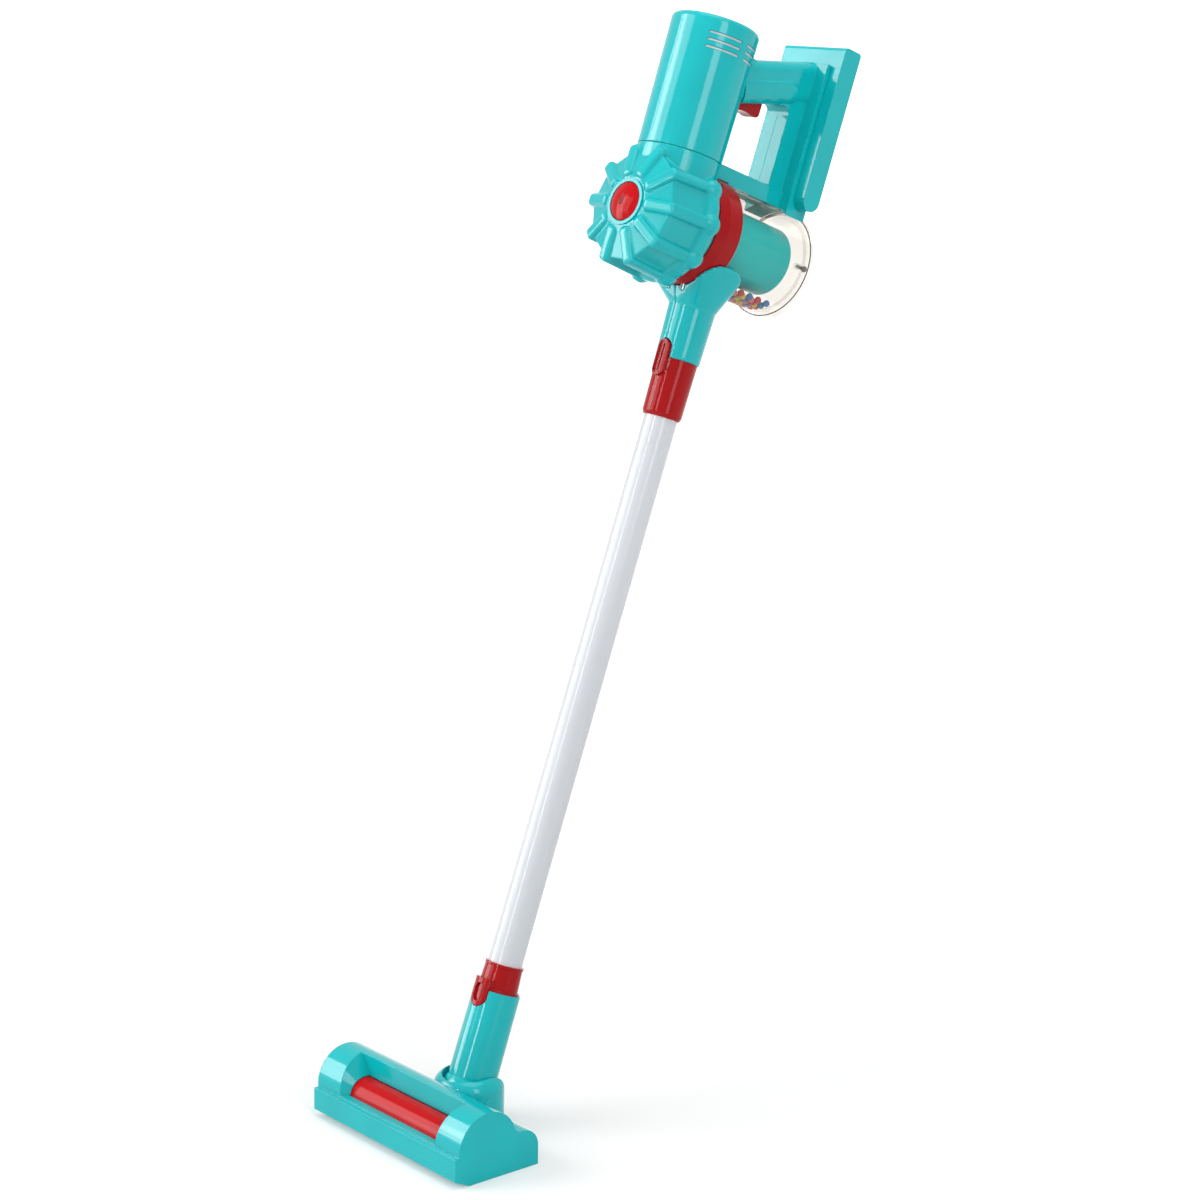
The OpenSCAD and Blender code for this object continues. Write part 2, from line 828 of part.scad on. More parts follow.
module bin() {
    color(clear) bin_frame() difference() {
        translate([0, 0, -bin_front]) cylinder(r = bin_r, h = bin_front + bin_back);
        translate([0, 0, -bin_front - 1]) cylinder(r = bin_r - bin_wall, h = far);
    }
}

module lid_screw_places() {
    for (s = [-1, 1]) {
        translate([s * lid_screw_at, 0, bin_back]) children();
    }
}

module bin_lid() {
    groove = 0.8;
    color(clear) bin_frame() difference() {
        union() {
            translate([0, 0, bin_back]) cylinder(r = bin_r + lid_rim, h = lid_t);
            translate([0, 0, bin_back - lid_spigot]) difference() {
                cylinder(r = bin_r - bin_wall - part_gap, h = lid_spigot + 1);
                translate([0, 0, -1]) cylinder(r = bin_r - bin_wall - 1.8, h = lid_spigot + 1);
            }
            lid_screw_places() translate([0, 0, -lid_boss_len]) {
                cylinder(r = lid_boss_r, h = lid_boss_len + 0.5);
            }
            rotate([0, 0, -30]) translate([-4, bin_r - 1, bin_back]) cube([8, 3, lid_t]);
        }
        translate([0, 0, bin_back + lid_t / 2 - groove / 2]) difference() {
            cylinder(r = bin_r + 2, h = groove);
            translate([0, 0, -1]) cylinder(r = bin_r - 0.4, h = groove + 2);
        }
        lid_screw_places() {
            translate([0, 0, -lid_boss_len + 1]) cylinder(r = 1 + seat_clear, h = far);
            translate([0, 0, lid_t - 1]) cylinder(r = 1.8 + seat_clear, h = far);
        }
    }
}

module lid_screws() {
    color(steel) bin_frame() lid_screw_places() {
        translate([0, 0, -lid_boss_len + 1.2]) cylinder(r = 1, h = lid_boss_len + lid_t - 1.2);
        translate([0, 0, lid_t - 1]) cylinder(r = 1.8, h = 0.9);
    }
}

module bin_core() {
    color(deep_teal) bin_frame() difference() {
        translate([0, 0, -bin_front]) cylinder(r = core_r, h = bin_front + core_back);
        translate([0, 0, -bin_front - 1]) {
            cylinder(r = core_r - core_wall, h = bin_front + core_back - core_wall + 1);
        }
    }
}

// Beads lie along the bottom of the bin in staggered rows; shade picks one colour in four
bead_step = bead_d + 0.2;
bead_track = bin_r - bin_wall - bead_d / 2 - 0.06;
bead_turn = 2 * asin(bead_step / 2 / bead_track);
bead_rows = 8;
bead_lines = 3;

module beads(shade) {
    bin_frame() for (i = [0:bead_rows - 1]) {
        for (j = [-bead_lines:bead_lines]) {
            if ((i * 7 + j * j * 5 + j + 100) % 4 == shade && (i * 5 + j * 3 + 60) % 7 > 0) {
                back = core_back - bead_d / 2 - bead_step * 0.87 * i;
                turn = bead_turn * (j + (i % 2) * 0.5);
                rotate([0, 0, turn]) translate([0, bead_track, back]) sphere(bead_d / 2, $fn = 24);
            }
        }
    }
}

module beads_red() {
    color(red) beads(0);
}

module beads_yellow() {
    color(yellow) beads(1);
}

module beads_blue() {
    color(blue) beads(2);
}

module beads_pink() {
    color(pink) beads(3);
}

// Cyclone cap and hub button

// Three screws from the drum into the cap
module cap_screw_places() {
    for (i = [0:2]) {
        rotate([0, 0, 120 * i + 30]) translate([cap_screw_at, 0, 0]) children();
    }
}

// Two edge balls of a rib at a radius and a depth
module rib_edges(radius, depth) {
    for (s = [-1, 1]) {
        translate([radius, s * (rib_w / 2 - rib_edge), depth]) sphere(rib_edge, $fn = 12);
    }
}

// A flat-topped bar with rounded edges, over the front and down the side to a lobe
module cap_rib() {
    front = -cap_front - rib_rise + rib_edge;
    corner_r = cap_rib_r - rib_edge;
    corner = -cap_shoulder - rib_proud + rib_edge;
    hull() {
        rib_edges(rib_inner, front);
        rib_edges(corner_r, corner);
    }
    hull() {
        rib_edges(corner_r, corner);
        rib_edges(flange_r - rib_edge + 0.6, -lobe_at);
    }
    translate([cap_lobe_r - lobe_r, 0, -lobe_at]) sphere(lobe_r, $fn = 14);
}

module cap_outer() {
    facet_out = cap_facet_r / cos(180 / cap_ribs);
    translate([0, 0, -cap_front]) {
        cylinder(r1 = hub_r + 4, r2 = facet_out, h = cap_front - cap_shoulder, $fn = cap_ribs);
    }
    translate([0, 0, -cap_shoulder]) {
        cylinder(r1 = facet_out, r2 = facet_out + 1.2, h = cap_shoulder - lobe_at, $fn = cap_ribs);
    }
    translate([0, 0, -lobe_at]) rotate_extrude($fn = 40) union() {
        translate([flange_r - flange_tube_r, 0]) circle(flange_tube_r, $fn = 16);
        translate([0, -flange_tube_r]) square([flange_r - flange_tube_r, 2 * flange_tube_r]);
    }
    for (i = [0:cap_ribs - 1]) {
        rotate([0, 0, i * 360 / cap_ribs]) cap_rib();
    }
    translate([0, 0, -motor_fwd]) rotate([90, 0, 0]) {
        cylinder(r = motor_r, h = seam_rise - part_gap, $fn = 48);
    }
}

module cyclone_cap() {
    color(teal) bin_frame() difference() {
        union() {
            difference() {
                cap_outer();
                translate([0, 0, -cap_front + cap_wall]) {
                    cylinder(r1 = hub_r + 4, r2 = cap_in_r, h = cap_front - cap_shoulder);
                }
                translate([0, 0, -cap_shoulder + cap_wall - 0.01]) cylinder(r = cap_in_r, h = far);
            }
            cap_screw_places() translate([0, 0, -cap_front + cap_boss]) {
                cylinder(r = boss_r, h = cap_front - drum_front - cap_boss - part_gap, $fn = 20);
            }
        }
        translate([-far, -far - seam_rise + part_gap, -far]) cube([2 * far, far, 2 * far]);
        translate([0, 0, -ring_front - 1]) cylinder(r = ring_r + 0.4, h = far);
        translate([-ring_gap_w / 2, -far, -ring_front - 1]) cube([ring_gap_w, far, far]);
        translate([0, 0, -far]) {
            cylinder(r = hub_r + hub_gap + hub_cup_wall + part_gap, h = far - cap_front + 20, $fn = 40);
        }
        cap_screw_places() translate([0, 0, -cap_front + cap_boss + 1.6]) {
            cylinder(r = screw_r + part_gap, h = far, $fn = 16);
        }
    }
}

module cap_screws() {
    color(steel) bin_frame() cap_screw_places() translate([0, 0, -drum_front + hand_wall]) {
        mirror([0, 0, 1]) translate([0, 0, -screw_head_t]) screw(8);
    }
}

module hub_ring() {
    inner = hub_r + hub_gap;
    color(teal) bin_frame() difference() {
        union() {
            translate([0, 0, -cap_front - hub_flange_t]) cylinder(r = inner + hub_flange, h = hub_flange_t);
            translate([0, 0, -cap_front - 0.1]) cylinder(r = inner + hub_cup_wall, h = hub_depth + 0.1);
        }
        translate([0, 0, -cap_front - 2]) cylinder(r = inner, h = hub_depth + 0.5);
        translate([0, 0, -cap_front]) cylinder(r = hub_stem_r + pin_clear, h = far);
    }
}

module hub_button() {
    dome_r = (hub_r * hub_r + hub_dome * hub_dome) / (2 * hub_dome);
    top = -cap_front - 0.7 - hub_dome;
    color(red) bin_frame() difference() {
        union() {
            intersection() {
                translate([0, 0, top - 1]) cylinder(r = hub_r, h = 1 + hub_dome + hub_skirt);
                translate([0, 0, top + dome_r]) sphere(dome_r, $fn = 128);
            }
            translate([0, 0, -cap_front + hub_skirt - 2]) {
                cylinder(r = hub_stem_r, h = hub_depth - hub_skirt + 4);
            }
            translate([0, 0, -cap_front + hub_depth + 0.1]) cylinder(r = hub_stem_r + 0.6, h = 1.4);
        }
        translate([0, 0, top]) rotate([0, 0, 14]) linear_extrude(0.8, center = true) {
            union() {
                square([1.4, 2.6], center = true);
                for (s = [-1, 1]) {
                    translate([0, s * 1.3]) circle(0.7);
                }
            }
        }
    }
}

module hub_spring() {
    low = -cap_front - 0.7 + hub_skirt;
    color(steel) bin_frame() translate([0, 0, low + 0.05]) {
        coil(hub_coil_r, spring_wire, 4, -cap_front + hub_depth - 1.5 - low - 0.1);
    }
}

// Housing halves

// Motor housing with a rounded top edge, revolved about its own axis
module motor_outline() {
    union() {
        polygon([
            [0, seam_z], [motor_r, seam_z], [motor_top_r, motor_top - motor_edge],
            [motor_top_r - motor_edge, motor_top - motor_edge], [motor_top_r - motor_edge, motor_top],
            [0, motor_top]
        ]);
        translate([motor_top_r - motor_edge, motor_top - motor_edge]) circle(motor_edge);
    }
}

module handle_bar() {
    back = plate_back - handle_d + 2;
    translate([0, handle_d, handle_z]) rotate([handle_tilt, 0, 0]) {
        translate([0, back, 0]) rotate([90, 0, 0]) linear_extrude(back + handle_d + motor_fwd) {
            round_rect(handle_w, handle_h, handle_corner);
        }
    }
}

// Fillet of radius r in the corner of two lines that leave the corner at angles a and b;
// the curve bites a hair into both faces, so that it crosses them cleanly
module corner_fillet(r, a, b) {
    root = 3;
    bite = 0.04;
    mid = (a + b) / 2;
    run = r / tan((b - a) / 2);
    reach = r / sin((b - a) / 2);
    on_a = run * [cos(a), sin(a)];
    on_b = run * [cos(b), sin(b)];
    in_a = root * [sin(a), -cos(a)];
    in_b = root * [-sin(b), cos(b)];
    difference() {
        polygon([on_a, on_b, on_b + in_b, in_a + in_b, on_a + in_a]);
        translate(reach * [cos(mid), sin(mid)]) circle(r + bite);
    }
}

// Fillets where the handle runs into the motor housing and into the strut
module handle_fillets() {
    half = handle_h / 2 / cos(handle_tilt);
    motor_d = -motor_fwd + motor_top_r - 0.4;
    across(handle_w - handle_corner) {
        translate([motor_d, handle_z + half + (motor_d - handle_d) * tan(handle_tilt)]) {
            corner_fillet(motor_fillet, handle_tilt, 90);
        }
    }
    across(strut_w) {
        translate([strut_front, handle_z - half + (strut_front - handle_d) * tan(handle_tilt)]) {
            corner_fillet(strut_fillet, 180 + handle_tilt, 270);
        }
        translate([strut_front, deck_z]) corner_fillet(deck_fillet, 90, 180);
    }
}

// Shallow grip panels low on both sides of the handle
module grip_panels() {
    translate([0, handle_d, handle_z]) rotate([handle_tilt, 0, 0]) {
        for (s = [-1, 1]) {
            translate([s * handle_w / 2, panel_at, -handle_h / 2 + panel_rise]) rotate([90, 0, 90]) {
                linear_extrude(2 * panel_sink, center = true) {
                    round_rect(panel_len, panel_h, panel_h / 2 - 0.1);
                }
            }
        }
    }
}

module housing_outer() {
    tool() {
        handle_fillets();
        translate([0, -motor_fwd, 0]) rotate_extrude() motor_outline();
        intersection() {
            handle_bar();
            translate([-far, -motor_fwd, -far]) cube([2 * far, motor_fwd + plate_back, 5 * far]);
        }
        translate([-deck_w / 2, -motor_fwd + motor_in_r, bin_z]) {
            cube([deck_w, plate_back - motor_in_r + motor_fwd, deck_rise]);
        }
        translate([-strut_w / 2, strut_front, deck_z - 1]) {
            cube([strut_w, plate_back - strut_front, handle_rise + 6]);
        }
        translate([-plate_w / 2, plate_front, bin_z]) cube([plate_w, plate_t, plate_top - bin_z]);
        translate([-plate_w / 2, plate_front, bin_z]) {
            cube([plate_w, box_back - 0.9 - plate_front, box_low + box_round - bin_z - 2]);
        }
    }
}

// Outside of the hand unit, fitted around bin, ring, lid, cap and battery box
module housing_body() {
    fit = part_gap + 0.2;
    difference() {
        housing_outer();
        tool() grip_panels();
        tool() battery_outline(part_gap);
        tool() translate([0, -motor_fwd, seam_z - far]) cylinder(r = motor_r + part_gap, h = far);
        bin_frame() {
            translate([0, 0, -far]) cylinder(r = bin_r + fit, h = 2 * far);
            translate([0, 0, -far]) cylinder(r = ring_r + fit, h = far - ring_back + 0.6);
            translate([0, 0, bin_back - 0.6]) cylinder(r = bin_r + lid_rim + fit, h = far);
        }
    }
}

module drum() {
    bin_frame() {
        translate([0, 0, -drum_front]) cylinder(r = drum_r, h = drum_front - drum_back);
        translate([-neck_block_w / 2, -seam_rise - 1, -ring_front]) {
            cube([neck_block_w, seam_rise + 2 - drum_r, ring_front - drum_back]);
        }
    }
}

module drum_room() {
    bin_frame() {
        translate([0, 0, -drum_front + hand_wall]) {
            cylinder(r = drum_r - hand_wall, h = drum_front - drum_back - 2 * hand_wall);
        }
        translate([0, 0, -drum_front - 1]) cylinder(r = hub_stem_r + 1, h = hand_wall + 2);
        cap_screw_places() translate([0, 0, -far]) {
            cylinder(r = screw_r + part_gap, h = far - drum_front + 5);
        }
    }
}

// Vent slots out to a radius, drawn in by a gap: columns give start and width in degrees
module vent_slots(out_r, gap) {
    columns = [[-48, 47], [10, 40]];
    inset = atan(gap / motor_r);
    for (side = [0, 1]) {
        mirror([side, 0, 0]) for (row = [0:vent_rows - 1]) {
            for (column = columns) {
                translate([0, 0, vent_top - row * vent_pitch]) rotate([0, 0, column[0] + inset]) {
                    rotate_extrude(angle = column[1] - 2 * inset) {
                        translate([motor_in_r - 1, gap - vent_h / 2]) {
                            square([out_r - motor_in_r + 1, vent_h - 2 * gap]);
                        }
                    }
                }
            }
        }
    }
}

module motor_room() {
    translate([0, -motor_fwd, 0]) {
        translate([0, 0, seam_z + hand_wall]) {
            cylinder(r = motor_in_r, h = liner_low - seam_z - hand_wall - 2);
            cylinder(r = motor_in_r - 2, h = motor_top - seam_z - 2 * hand_wall);
        }
        translate([0, 0, liner_low]) cylinder(r = motor_in_r, h = motor_top - hand_wall - liner_low);
        vent_slots(motor_top_r + 3, 0);
    }
}

module trigger_room() {
    front = trigger_front - 2 * run_gap;
    back = trigger_back + 2.3;
    across(trigger_slot) polygon([
        [front, trigger_low - 8], [back, trigger_low - 8], [back, trigger_ceiling], [front, trigger_ceiling]
    ]);
    translate([0, trigger_pin_d, trigger_pin_z]) {
        pin_x(trigger_pin_r + seat_clear, trigger_pin_half + seat_clear);
    }
}

// Screws that clamp the board in the motor housing, then the others, as depth and height above the neck pin
board_screws = [
    [-motor_fwd + 16, seam_z + 14], [-motor_fwd - 16, seam_z + 14], [-motor_fwd, motor_top - 38]
];
drum_screws = [[-motor_fwd, bin_z + 16], [-motor_fwd, bin_z - 16]];
body_screws = [[handle_d, handle_z], [strut_front + 6, deck_z + 26]];

module at_places(places) {
    for (p = places) {
        translate([0, p[0], p[1]]) children();
    }
}

// Bosses reach across the motor housing and the drum; the board lies between them
module housing_bosses() {
    tool() difference() {
        intersection() {
            at_places(board_screws) pin_x(boss_r + 0.8, motor_r);
            translate([0, -motor_fwd, seam_z + 1]) cylinder(r = motor_r - 0.5, h = motor_len - 2);
        }
        translate([-board_t / 2 - 0.05, -far, seam_z]) cube([board_t + 0.1, 2 * far, motor_len]);
    }
    intersection() {
        tool() at_places(drum_screws) pin_x(boss_r + 0.8, drum_r);
        bin_frame() translate([0, 0, -drum_front + 1]) {
            cylinder(r = drum_r - 0.5, h = drum_front - drum_back - 2);
        }
    }
    intersection() {
        duct_screw_places() translate([0, 0, duct_screw_seat]) {
            cylinder(r = boss_r, h = drum_r - duct_screw_seat);
        }
        bin_frame() translate([0, 0, -drum_front + 1]) {
            cylinder(r = drum_r - 0.5, h = drum_front - drum_back - 1.5);
        }
    }
}

module housing_screw_holes(side) {
    shank = side < 0 ? part_gap : seat_clear;
    at_places(concat(board_screws, drum_screws, body_screws)) {
        pin_x(screw_r + shank, screw_tip + 0.3);
        if (side < 0) {
            translate([-screw_seat, 0, 0]) rotate([0, -90, 0]) {
                cylinder(r = screw_head_r + part_gap, h = 60);
            }
        }
    }
}

module housing_half(side) {
    difference() {
        union() {
            difference() {
                union() {
                    housing_body();
                    drum();
                }
                drum_room();
                tool() motor_room();
                tool() trigger_room();
            }
            housing_bosses();
        }
        tool() housing_screw_holes(side);
        duct_screw_places() cylinder(r = screw_r + part_gap, h = far);
        tool() box_screw_places() cylinder(r = screw_r + seat_clear, h = box_screw_len + 0.3);
        tool() half_space(-side);
    }
}

module left_housing() {
    color(teal) housing_half(-1);
}

module right_housing() {
    color(teal) housing_half(1);
}

module housing_screws() {
    color(steel) tool() at_places(concat(board_screws, drum_screws, body_screws)) {
        translate([-screw_seat - screw_head_t, 0, 0]) rotate([0, 90, 0]) {
            screw(screw_seat + screw_head_t + screw_tip);
        }
    }
}

module vent_liner() {
    outer = motor_in_r - part_gap;
    color(white) tool() translate([0, -motor_fwd, 0]) {
        translate([0, 0, liner_low]) difference() {
            cylinder(r = outer, h = motor_top - hand_wall - liner_low - part_gap);
            translate([0, 0, liner_t]) cylinder(r = outer - liner_t, h = far);
            translate([0, 0, -1]) cylinder(r = speaker_r - 4, h = far);
        }
        vent_slots(vent_r - vent_sink, part_gap);
    }
}

module speaker() {
    color(dark) tool() translate([0, -motor_fwd, liner_low + liner_t]) difference() {
        union() {
            cylinder(r = speaker_r, h = speaker_t);
            translate([0, 0, -4]) cylinder(r = speaker_r - 5, h = 5);
            translate([0, 0, -7]) cylinder(r = speaker_r - 11, h = 7);
        }
        translate([0, 0, speaker_t + cone_r - 2]) sphere(cone_r);
    }
}

module circuit_board() {
    low = seam_z + board_rise;
    color(green) tool() difference() {
        union() {
            across(board_t) polygon([
                [-motor_fwd - board_half, low], [-motor_fwd + board_half, low],
                [-motor_fwd + board_half, low + board_side],
                [-motor_fwd + board_top_half, motor_top - board_drop],
                [-motor_fwd - board_top_half, motor_top - board_drop],
                [-motor_fwd - board_half, low + board_side]
            ]);
            translate([board_t / 2 - 0.1, -motor_fwd - chip / 2, low + 1]) cube([chip_t, chip, chip]);
            for (s = [-1, 1]) {
                translate([board_t / 2 - 0.1, -motor_fwd + can_at * s, low + can_r + 1]) rotate([0, 90, 0]) {
                    cylinder(r = can_r, h = can_h);
                }
            }
        }
        at_places(board_screws) pin_x(screw_r + part_gap, far);
    }
}

// Trigger, its spring and switch

module trigger() {
    color(red) tool() difference() {
        across(trigger_w) difference() {
            union() {
                translate([trigger_pin_d, trigger_pin_z]) circle(trigger_eye_r);
                polygon([
                    [trigger_front, trigger_pin_z], [trigger_front, trigger_low + 2],
                    [trigger_front + 2, trigger_low], [trigger_back - 3, trigger_low],
                    [trigger_back - 3, trigger_low + 3], [trigger_back, trigger_low + 3],
                    [trigger_back, trigger_arm_top], [trigger_pin_d, trigger_arm_top]
                ]);
                translate([trigger_back - 3, trigger_low + 3]) circle(3);
            }
            translate([trigger_pin_d + 4.6, trigger_low - 29.3]) circle(30);
        }
        translate([0, trigger_pin_d, trigger_pin_z]) pin_x(trigger_pin_r + pin_clear, handle_w);
    }
}

module trigger_pin() {
    color(steel) tool() translate([0, trigger_pin_d, trigger_pin_z]) pin_x(trigger_pin_r, trigger_pin_half);
}

module trigger_spring() {
    color(steel) tool() translate([0, trigger_spring_d, trigger_arm_top + 0.05]) {
        coil(trigger_coil_r, spring_wire, 6, trigger_ceiling - trigger_arm_top - 0.1);
    }
}

module switch() {
    color(dark) tool() translate([0, switch_d, trigger_ceiling]) {
        translate([-3, -3, -7]) cube([6, 6, 7 - part_gap]);
        translate([0, 0, -8]) cylinder(r = 1.2, h = 2);
    }
}

// Battery box

module battery_outline(gap) {
    mid = box_front + box_round;
    top_r = 2;
    across(box_w + 2 * gap) union() {
        translate([mid, box_low + box_round]) circle(box_round + gap);
        translate([box_front - gap, box_low + box_round]) {
            square([box_t + 2 * gap, box_h - box_round - top_r]);
        }
        translate([box_front + top_r, box_low + box_round]) {
            square([box_t - 2 * top_r, box_h - box_round + gap]);
        }
        for (y = [box_front + top_r, box_back - top_r]) {
            translate([y, box_top - top_r]) circle(top_r + gap);
        }
    }
}

// Screws from the lower bay of the battery box into the strut
module box_screw_places() {
    for (s = [-1, 1]) {
        translate([s * strut_w / 4, box_front + box_wall, box_low + 20]) rotate([90, 0, 0]) children();
    }
}

module door_screw_place() {
    translate([0, box_back - door_t, cell_low - 5.4]) rotate([90, 0, 0]) children();
}

module battery_box() {
    bay_w = box_w - 2 * door_edge - 5;
    color(teal) tool() difference() {
        battery_outline(0);
        translate([-box_w / 2 + door_edge, box_back - door_t, door_low]) {
            cube([box_w - 2 * door_edge, far, door_high - door_low]);
        }
        translate([-bay_w / 2, box_front + box_wall, cell_low - 1.3]) cube([bay_w, far, cell_len + 2.6]);
        translate([-bay_w / 2, box_front + box_wall, door_low + 2]) {
            cube([bay_w, far, cell_low - 12 - door_low]);
        }
        box_screw_places() cylinder(r = screw_r + part_gap, h = far);
        door_screw_place() cylinder(r = screw_r + seat_clear, h = 7.3);
    }
}

module battery_door() {
    color(deep_teal) tool() difference() {
        translate([-box_w / 2 + door_edge + part_gap, box_back - door_t, door_low + part_gap]) {
            cube([box_w - 2 * door_edge - 2 * part_gap, door_t, door_high - door_low - 2 * part_gap]);
        }
        door_screw_place() translate([0, 0, -far]) cylinder(r = screw_r + part_gap, h = 2 * far);
        door_screw_place() translate([0, 0, -far - 0.2]) cylinder(r = screw_head_r + part_gap, h = far);
    }
}

module door_screw() {
    color(steel) tool() door_screw_place() translate([0, 0, -1]) {
        cylinder(r = screw_head_r, h = 0.8);
        cylinder(r = screw_r, h = 8);
    }
}

module box_screws() {
    color(steel) tool() box_screw_places() translate([0, 0, -screw_head_t]) {
        screw(box_screw_len + screw_head_t);
    }
}

module at_cells() {
    for (i = [-1:1]) {
        translate([i * cell_pitch, cell_mid, cell_low]) children();
    }
}

module battery_cells() {
    color(steel) tool() at_cells() {
        cylinder(r = cell_d / 2, h = cell_len - 0.8);
        cylinder(r = 2.2, h = cell_len);
    }
}

module battery_contacts() {
    width = 2 * cell_pitch + contact_w;
    color(brass) tool() {
        translate([-width / 2, box_front + box_wall + 1, 0]) {
            translate([0, 0, cell_low + cell_len + 0.05]) cube([width, contact_w, contact_t]);
            translate([0, 0, cell_low - 1.25]) cube([width, contact_w, contact_t]);
        }
        at_cells() translate([0, 0, -0.8]) cylinder(r = 2.4, h = 0.75);
    }
}

head_shell();
sole_plate();
sole_screws();
roller();
roller_axle();
neck_pin();
neck();
lower_collar();
wand_tube();
upper_collar();
duct_left();
duct_right();
duct_screws();
left_housing();
right_housing();
housing_screws();
vent_liner();
speaker();
circuit_board();
cyclone_cap();
cap_screws();
hub_ring();
hub_button();
hub_spring();
bin_ring();
bin();
bin_lid();
lid_screws();
bin_core();
beads_red();
beads_yellow();
beads_blue();
beads_pink();
trigger();
trigger_pin();
trigger_spring();
switch();
battery_box();
box_screws();
battery_door();
battery_cells();
battery_contacts();
door_screw();
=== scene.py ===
import math

import bmesh
import bpy
from bpy.props import FloatProperty, FloatVectorProperty, IntProperty, PointerProperty
from mathutils import Matrix, Vector


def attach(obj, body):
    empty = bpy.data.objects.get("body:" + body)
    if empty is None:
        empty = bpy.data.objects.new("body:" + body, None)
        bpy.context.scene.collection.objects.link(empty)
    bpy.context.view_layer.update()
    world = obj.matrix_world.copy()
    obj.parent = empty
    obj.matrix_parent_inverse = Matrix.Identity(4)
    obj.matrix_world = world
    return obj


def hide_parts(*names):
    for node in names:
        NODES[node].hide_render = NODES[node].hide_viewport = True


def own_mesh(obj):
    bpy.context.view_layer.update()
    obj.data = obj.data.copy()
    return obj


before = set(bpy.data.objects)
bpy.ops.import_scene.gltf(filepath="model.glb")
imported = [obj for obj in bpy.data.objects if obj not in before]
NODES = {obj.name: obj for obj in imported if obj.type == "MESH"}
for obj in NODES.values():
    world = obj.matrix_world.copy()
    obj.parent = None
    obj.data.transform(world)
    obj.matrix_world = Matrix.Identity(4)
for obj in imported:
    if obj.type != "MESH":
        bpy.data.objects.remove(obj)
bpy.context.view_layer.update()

bl_info = {
    "name": "Toy stick vacuum cleaner",
    "version": (1, 0, 0),
    "blender": (4, 5, 0),
    "location": "View3D > Sidebar > Vacuum",
    "description": "Dresses the toy vacuum cleaner in moulded plastic and sets up its studio",
    "category": "Object",
}

MM = 0.001

# The tool leans back on the neck's pivot, and the bin's axis crosses the wand's line at the bin's centre
LEAN = math.radians(19.9)
ACROSS = Vector((1, 0, 0))
BIN_AXIS = Vector((0, math.cos(LEAN), -math.sin(LEAN)))
BIN_UP = Vector((0, math.sin(LEAN), math.cos(LEAN)))
PIVOT = Vector((0, 31.4 * MM, 19.5 * MM))
BIN_CENTRE = PIVOT + BIN_UP * 513.1 * MM

# The handle's middle, from the pivot along the bin's axis and up the wand, with its tilt and section
HANDLE_BACK = 17 * MM
HANDLE_HEIGHT = 613 * MM
HANDLE_TILT = math.radians(17.5)
HANDLE_HALF = 10 * MM
HANDLE_CORNER = 6 * MM

# The finger grip, from the handle's middle: its ends, flat side, wrap round the lower corner and sunk rim,
# the step of its waves, the share over which it fades out, and its mesh
GRIP_START, GRIP_END = -37 * MM, 8.5 * MM
GRIP_TOP, GRIP_FLAT = 2.4 * MM, 8.9 * MM
GRIP_WRAP = math.radians(70)
GRIP_SINK = 0.3 * MM
GRIP_WAVE_STEP = 1.75 * MM
GRIP_FADE = 0.30
GRIP_ROWS, GRIP_COLUMNS = 72, 28

# The hub button's slot, drawn as a dark inlay that paints the shade of its recess: its slant, how far its inlay
# stands proud and reaches in, and its points
SLOT_SLANT = math.radians(14)
SLOT_PROUD, SLOT_DEPTH = 0.12 * MM, 0.6 * MM
SLOT_STEPS = 32

# What the lamps aim at
AIM = Vector((0, 0.14, 0.33))


# Settings


def colour_of(name, description, default):
    """A linear colour swatch."""
    return FloatVectorProperty(
        name=name, description=description, default=default, subtype="COLOR", size=3, min=0, max=1
    )


def length_of(name, description, default):
    """A length in metres."""
    return FloatProperty(name=name, description=description, default=default, min=0, unit="LENGTH", precision=5)


def share_of(name, description, default):
    """A share or strength without a unit."""
    return FloatProperty(name=name, description=description, default=default, min=0, subtype="FACTOR")


def power_of(name, description, default):
    """A lamp's power in watts."""
    return FloatProperty(name=name, description=description, default=default, min=0, unit="POWER")


def angle_of(name, description, degrees):
    """An angle, given in degrees."""
    return FloatProperty(name=name, description=description, default=math.radians(degrees), subtype="ANGLE")


class VacuumColours(bpy.types.PropertyGroup):
    """Colours of the plastics and metals"""

    teal: colour_of("Teal", "Shells of the hand unit, duct, neck and floor head", (0.003, 0.460, 0.485))
    # Painted light: the core's teal is written lighter than the shell teal to make up for the deck's shade and
    # the clear walls it is seen through; the sole plate uses it too
    core_teal_lit: colour_of("Core teal", "Core inside the clear bin", (0.003, 0.640, 0.640))
    red: colour_of("Red", "Collars, bin ring and trigger", (0.380, 0.005, 0.007))
    bright_red: colour_of("Bright red", "Roller and hub button", (0.520, 0.005, 0.008))
    # Painted shade: a darker red for the inlay that stands for the shade in the hub button's slot
    slot_shade_red: colour_of("Slot red", "Slot in the hub button", (0.230, 0.003, 0.005))
    tube: colour_of("Tube white", "Wand tube", (0.630, 0.655, 0.690))
    clear_edge: colour_of("Clear edge", "Clear plastic looked at along its wall", (0.700, 0.670, 0.630))
    clear: colour_of("Clear plastic", "Bin and its lid", (0.932, 0.924, 0.910))
    # Painted shade: the dark colour of the thin ring that stands for the shade in the seam where the lid closes
    seam_shade: colour_of("Smoked seam", "Line where the lid closes on the bin", (0.090, 0.060, 0.065))
    metal: colour_of("Steel", "Screws, pins and springs", (0.560, 0.570, 0.580))
    brass: colour_of("Brass", "Battery contacts", (0.620, 0.420, 0.150))
    dark: colour_of("Dark plastic", "Speaker and switch", (0.025, 0.026, 0.028))
    board: colour_of("Board green", "Circuit board", (0.010, 0.140, 0.045))
    bead_red: colour_of("Red bead", "Loose beads", (0.740, 0.050, 0.045))
    bead_yellow: colour_of("Yellow bead", "Loose beads", (0.900, 0.680, 0.100))
    bead_blue: colour_of("Blue bead", "Loose beads", (0.080, 0.280, 0.640))
    bead_pink: colour_of("Pink bead", "Loose beads", (0.850, 0.250, 0.330))


